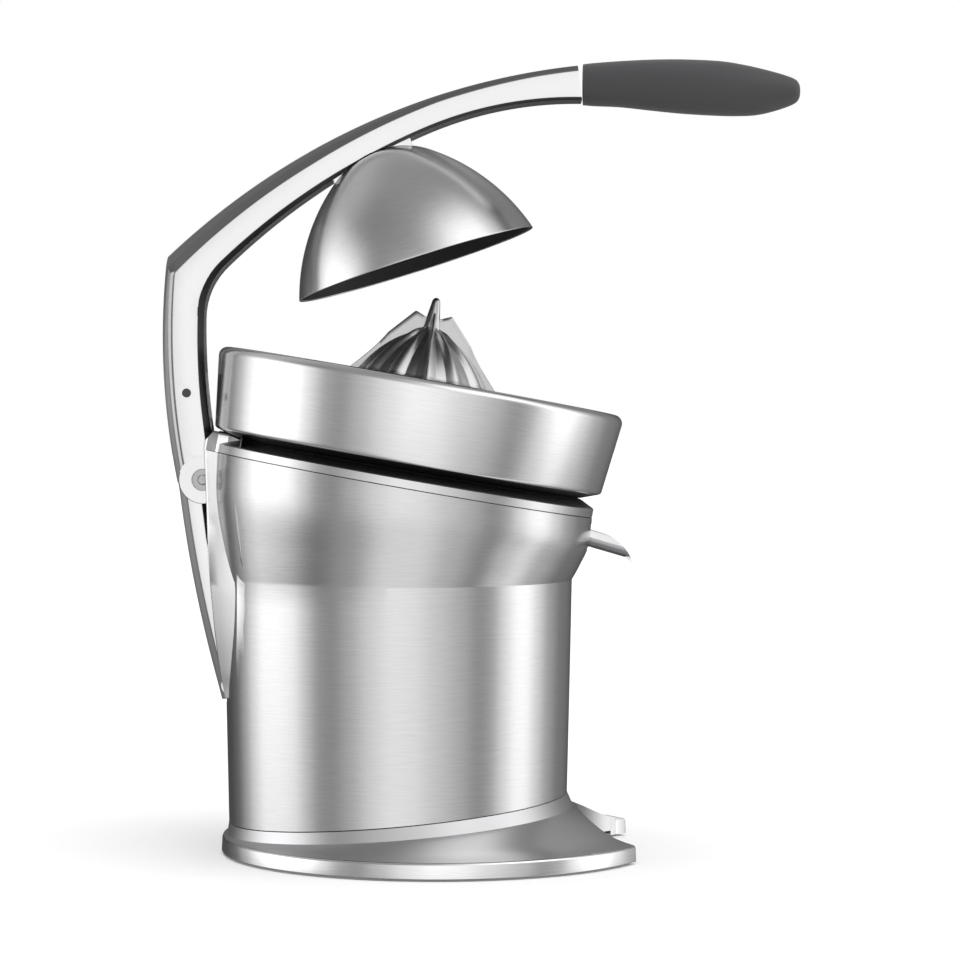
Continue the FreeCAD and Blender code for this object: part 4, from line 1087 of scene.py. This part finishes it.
def make_grip():
    rings = [[Vector((x, y, height)) for y, height in circle(0, z, radius, MEDIUM)]
             for x, z, radius in smooth_rows(GRIP_ROWS, 5)]
    skin("grip_sleeve_shape", rings, GRIP_RUBBER, "arm", "grip_sleeve", sharp=40)


# The dome

DOME_CURVE = 44.2
FLANK_CURVE = 108
DOME_TOP = 65.3
DOME_CENTRE = DOME_TOP - DOME_CURVE
DOME_SHOULDER = math.radians(54)
DOME_EDGE = 66.1
# How much the flank draws in for each millimetre that its rim stands higher
DOME_FLARE = 0.45
CARRIER = [(-29, 50), (15.5, 50), (17.5, 52.5), (17.5, 66.5), (15, 69), (-26.5, 69), (-29, 66.5)]
CARRIER_HALF = 10.5
CARRIER_PLAY = 0.2
# How far inside the dome's surface, how much higher at the rim, and how thick
SHELL = (0, 0, 1.2)
LINER = (1.5, 0.4, 1.3)


def shoulder(gap):
    """Where crown and flank meet on the dome's outside, made larger by a gap."""
    radius = DOME_CURVE + gap
    return (radius * math.cos(DOME_SHOULDER), DOME_CENTRE + radius * math.sin(DOME_SHOULDER))


def dome_outline(less, rim, thick):
    """Section of a shell that lies inside the dome's surface by less and ends higher by rim."""
    edge = DOME_EDGE - less - DOME_FLARE * rim
    return [(0, DOME_CENTRE + DOME_CURVE - less), (*shoulder(-less), less - DOME_CURVE),
            (edge, rim, less - FLANK_CURVE), (edge - thick, rim),
            (*shoulder(-less - thick), FLANK_CURVE - less - thick),
            (0, DOME_CENTRE + DOME_CURVE - less - thick, DOME_CURVE - less - thick)]


def dome_room(gap, low=40):
    """Outline that clears the dome's outside, for pieces that sit on it."""
    back = FLANK_CURVE - DOME_CURVE
    rise = low - DOME_CENTRE + back * math.sin(DOME_SHOULDER)
    wide = math.sqrt((FLANK_CURVE + gap) ** 2 - rise ** 2) - back * math.cos(DOME_SHOULDER)
    return [(0, low), (wide, low), (*shoulder(gap), FLANK_CURVE + gap),
            (0, DOME_TOP + gap, DOME_CURVE + gap)]


def make_dome():
    lathe("dome_shell_shape", dome_outline(*SHELL), DOME, DOME_STEEL, "arm", "dome_shell", closed=False)
    lathe("dome_liner_shape", dome_outline(*LINER), DOME, LINER_PLASTIC, "arm", "dome_liner", size=0.3,
          closed=False)
    rings = [[DOME @ Vector((x, level, z)) for x, z in ring]
             for ring, level in block_rings(follow(CARRIER), -CARRIER_HALF, CARRIER_HALF, 0.6)]
    saddle = skin("dome_carrier_shape", rings, ARM_CASTING, "arm", "dome_carrier")
    carve(saddle, turned_helper(dome_room(CARRIER_PLAY), DOME, WIDE))
    settle(saddle, ARM_CASTING)


# The spout

SPOUT_SECTION = [(-11, 10.4), (-11, 5.4), (11, 5.4, 14), (11, 10.4), (9.8, 10.4), (9.8, 5.6),
                 (-9.8, 5.6, -13), (-9.8, 10.4)]
SPOUT_LONG = 31.6
SPOUT_SIDES = [(5.6, 11), (5.6, 9), (12, 9), (31.8, 0.2, -24), (34, 0.2), (34, 12)]
SPOUT_SIDES_HALF = 14
SPOUT_LIP = [(28.5, 0.3), (33.2, -2.4), (31.3, 1.1), (28.5, 1.5)]
SPOUT_LIP_HALF = 3.5


def make_spout():
    section = follow(SPOUT_SECTION, step=0.8)
    spout = ring_helper([[SPOUT @ Vector((x, y, z)) for y, z in section] for x in (0, SPOUT_LONG)])
    carve(spout, crossbar(follow(SPOUT_SIDES, step=0.8), SPOUT_SIDES_HALF, SPOUT))
    carve(spout, crossbar(SPOUT_LIP, SPOUT_LIP_HALF, SPOUT), "UNION")
    keep(spout, "drip_spout_shape", SPOUT_STEEL, "spout", "drip_spout")


# The leaf springs under the spindle

SPRING_FOOT = -47.9
SPRING_STEP = 2.46
SPRING_RISE = 1.5
SPRING_THICK = 0.8
SPRING_BORE = 3.2
SPRING_EDGE = 7.8


def make_springs():
    """Three cupped leaves, back to back, that flatten as the spindle is pressed."""
    for leaf in range(3):
        low = SPRING_FOOT + SPRING_STEP * leaf
        inner, outer = (low, low + SPRING_RISE) if leaf % 2 == 0 else (low + SPRING_RISE, low)
        outline = [(SPRING_BORE, inner), (SPRING_EDGE, outer), (SPRING_EDGE, outer + SPRING_THICK),
                   (SPRING_BORE, inner + SPRING_THICK)]
        piece = lathe(f"thrust_spring_{leaf + 1}", outline, DECK, SPRING_STEEL, "root", "thrust_springs",
                      size=0.15, turns=NARROW)
        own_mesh(piece)


# Finishes of the nodes that keep their solids

NODE_FINISHES = {
    DARK_PLASTIC: ["base_plate", "start_switch", "motor_cover", "juice_funnel", "cone_hub"],
    RED_PLASTIC: ["switch_plunger"],
    BRASS: ["motor_pinion"],
    SOFT_RUBBER: ["rubber_feet", "cord_gland", "bowl_seal", "shaft_seal"],
    PIN_STEEL: ["base_screws", "gearbox_screws", "deck_screws", "idler_shaft", "rotor_shaft",
                "drive_spindle", "tail_pin", "guide_pin", "link_pin", "spout_pins", "dome_screws",
                "thrust_washer"],
    SOCKET_DARK: ["arm_cross_pin"],
    SINTERED_BRONZE: ["upper_bearing", "lower_bearing", "motor_bushes"],
    GEAR_PLASTIC: ["output_gear", "idler_gear"],
    PLATED_CAN: ["motor_can", "stator_core", "rotor_core"],
    DIE_CASTING: ["gearbox_case", "gearbox_lid", "guide_link"],
    BASKET_STEEL: ["strainer_basket"],
}


def finish_nodes():
    for finish, names in NODE_FINISHES.items():
        for name in names:
            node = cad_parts[name]
            node.data.materials.clear()
            node.data.materials.append(finish)


bpy.context.scene.view_settings.view_transform = "Standard"
for make in (add_camera, add_surround, add_top_light, add_floor, make_foot, make_housing, make_deck,
             make_bowl, make_cone, make_fins, make_arm, make_tail_link, make_grip, make_dome, make_spout,
             make_springs, finish_nodes):
    make()
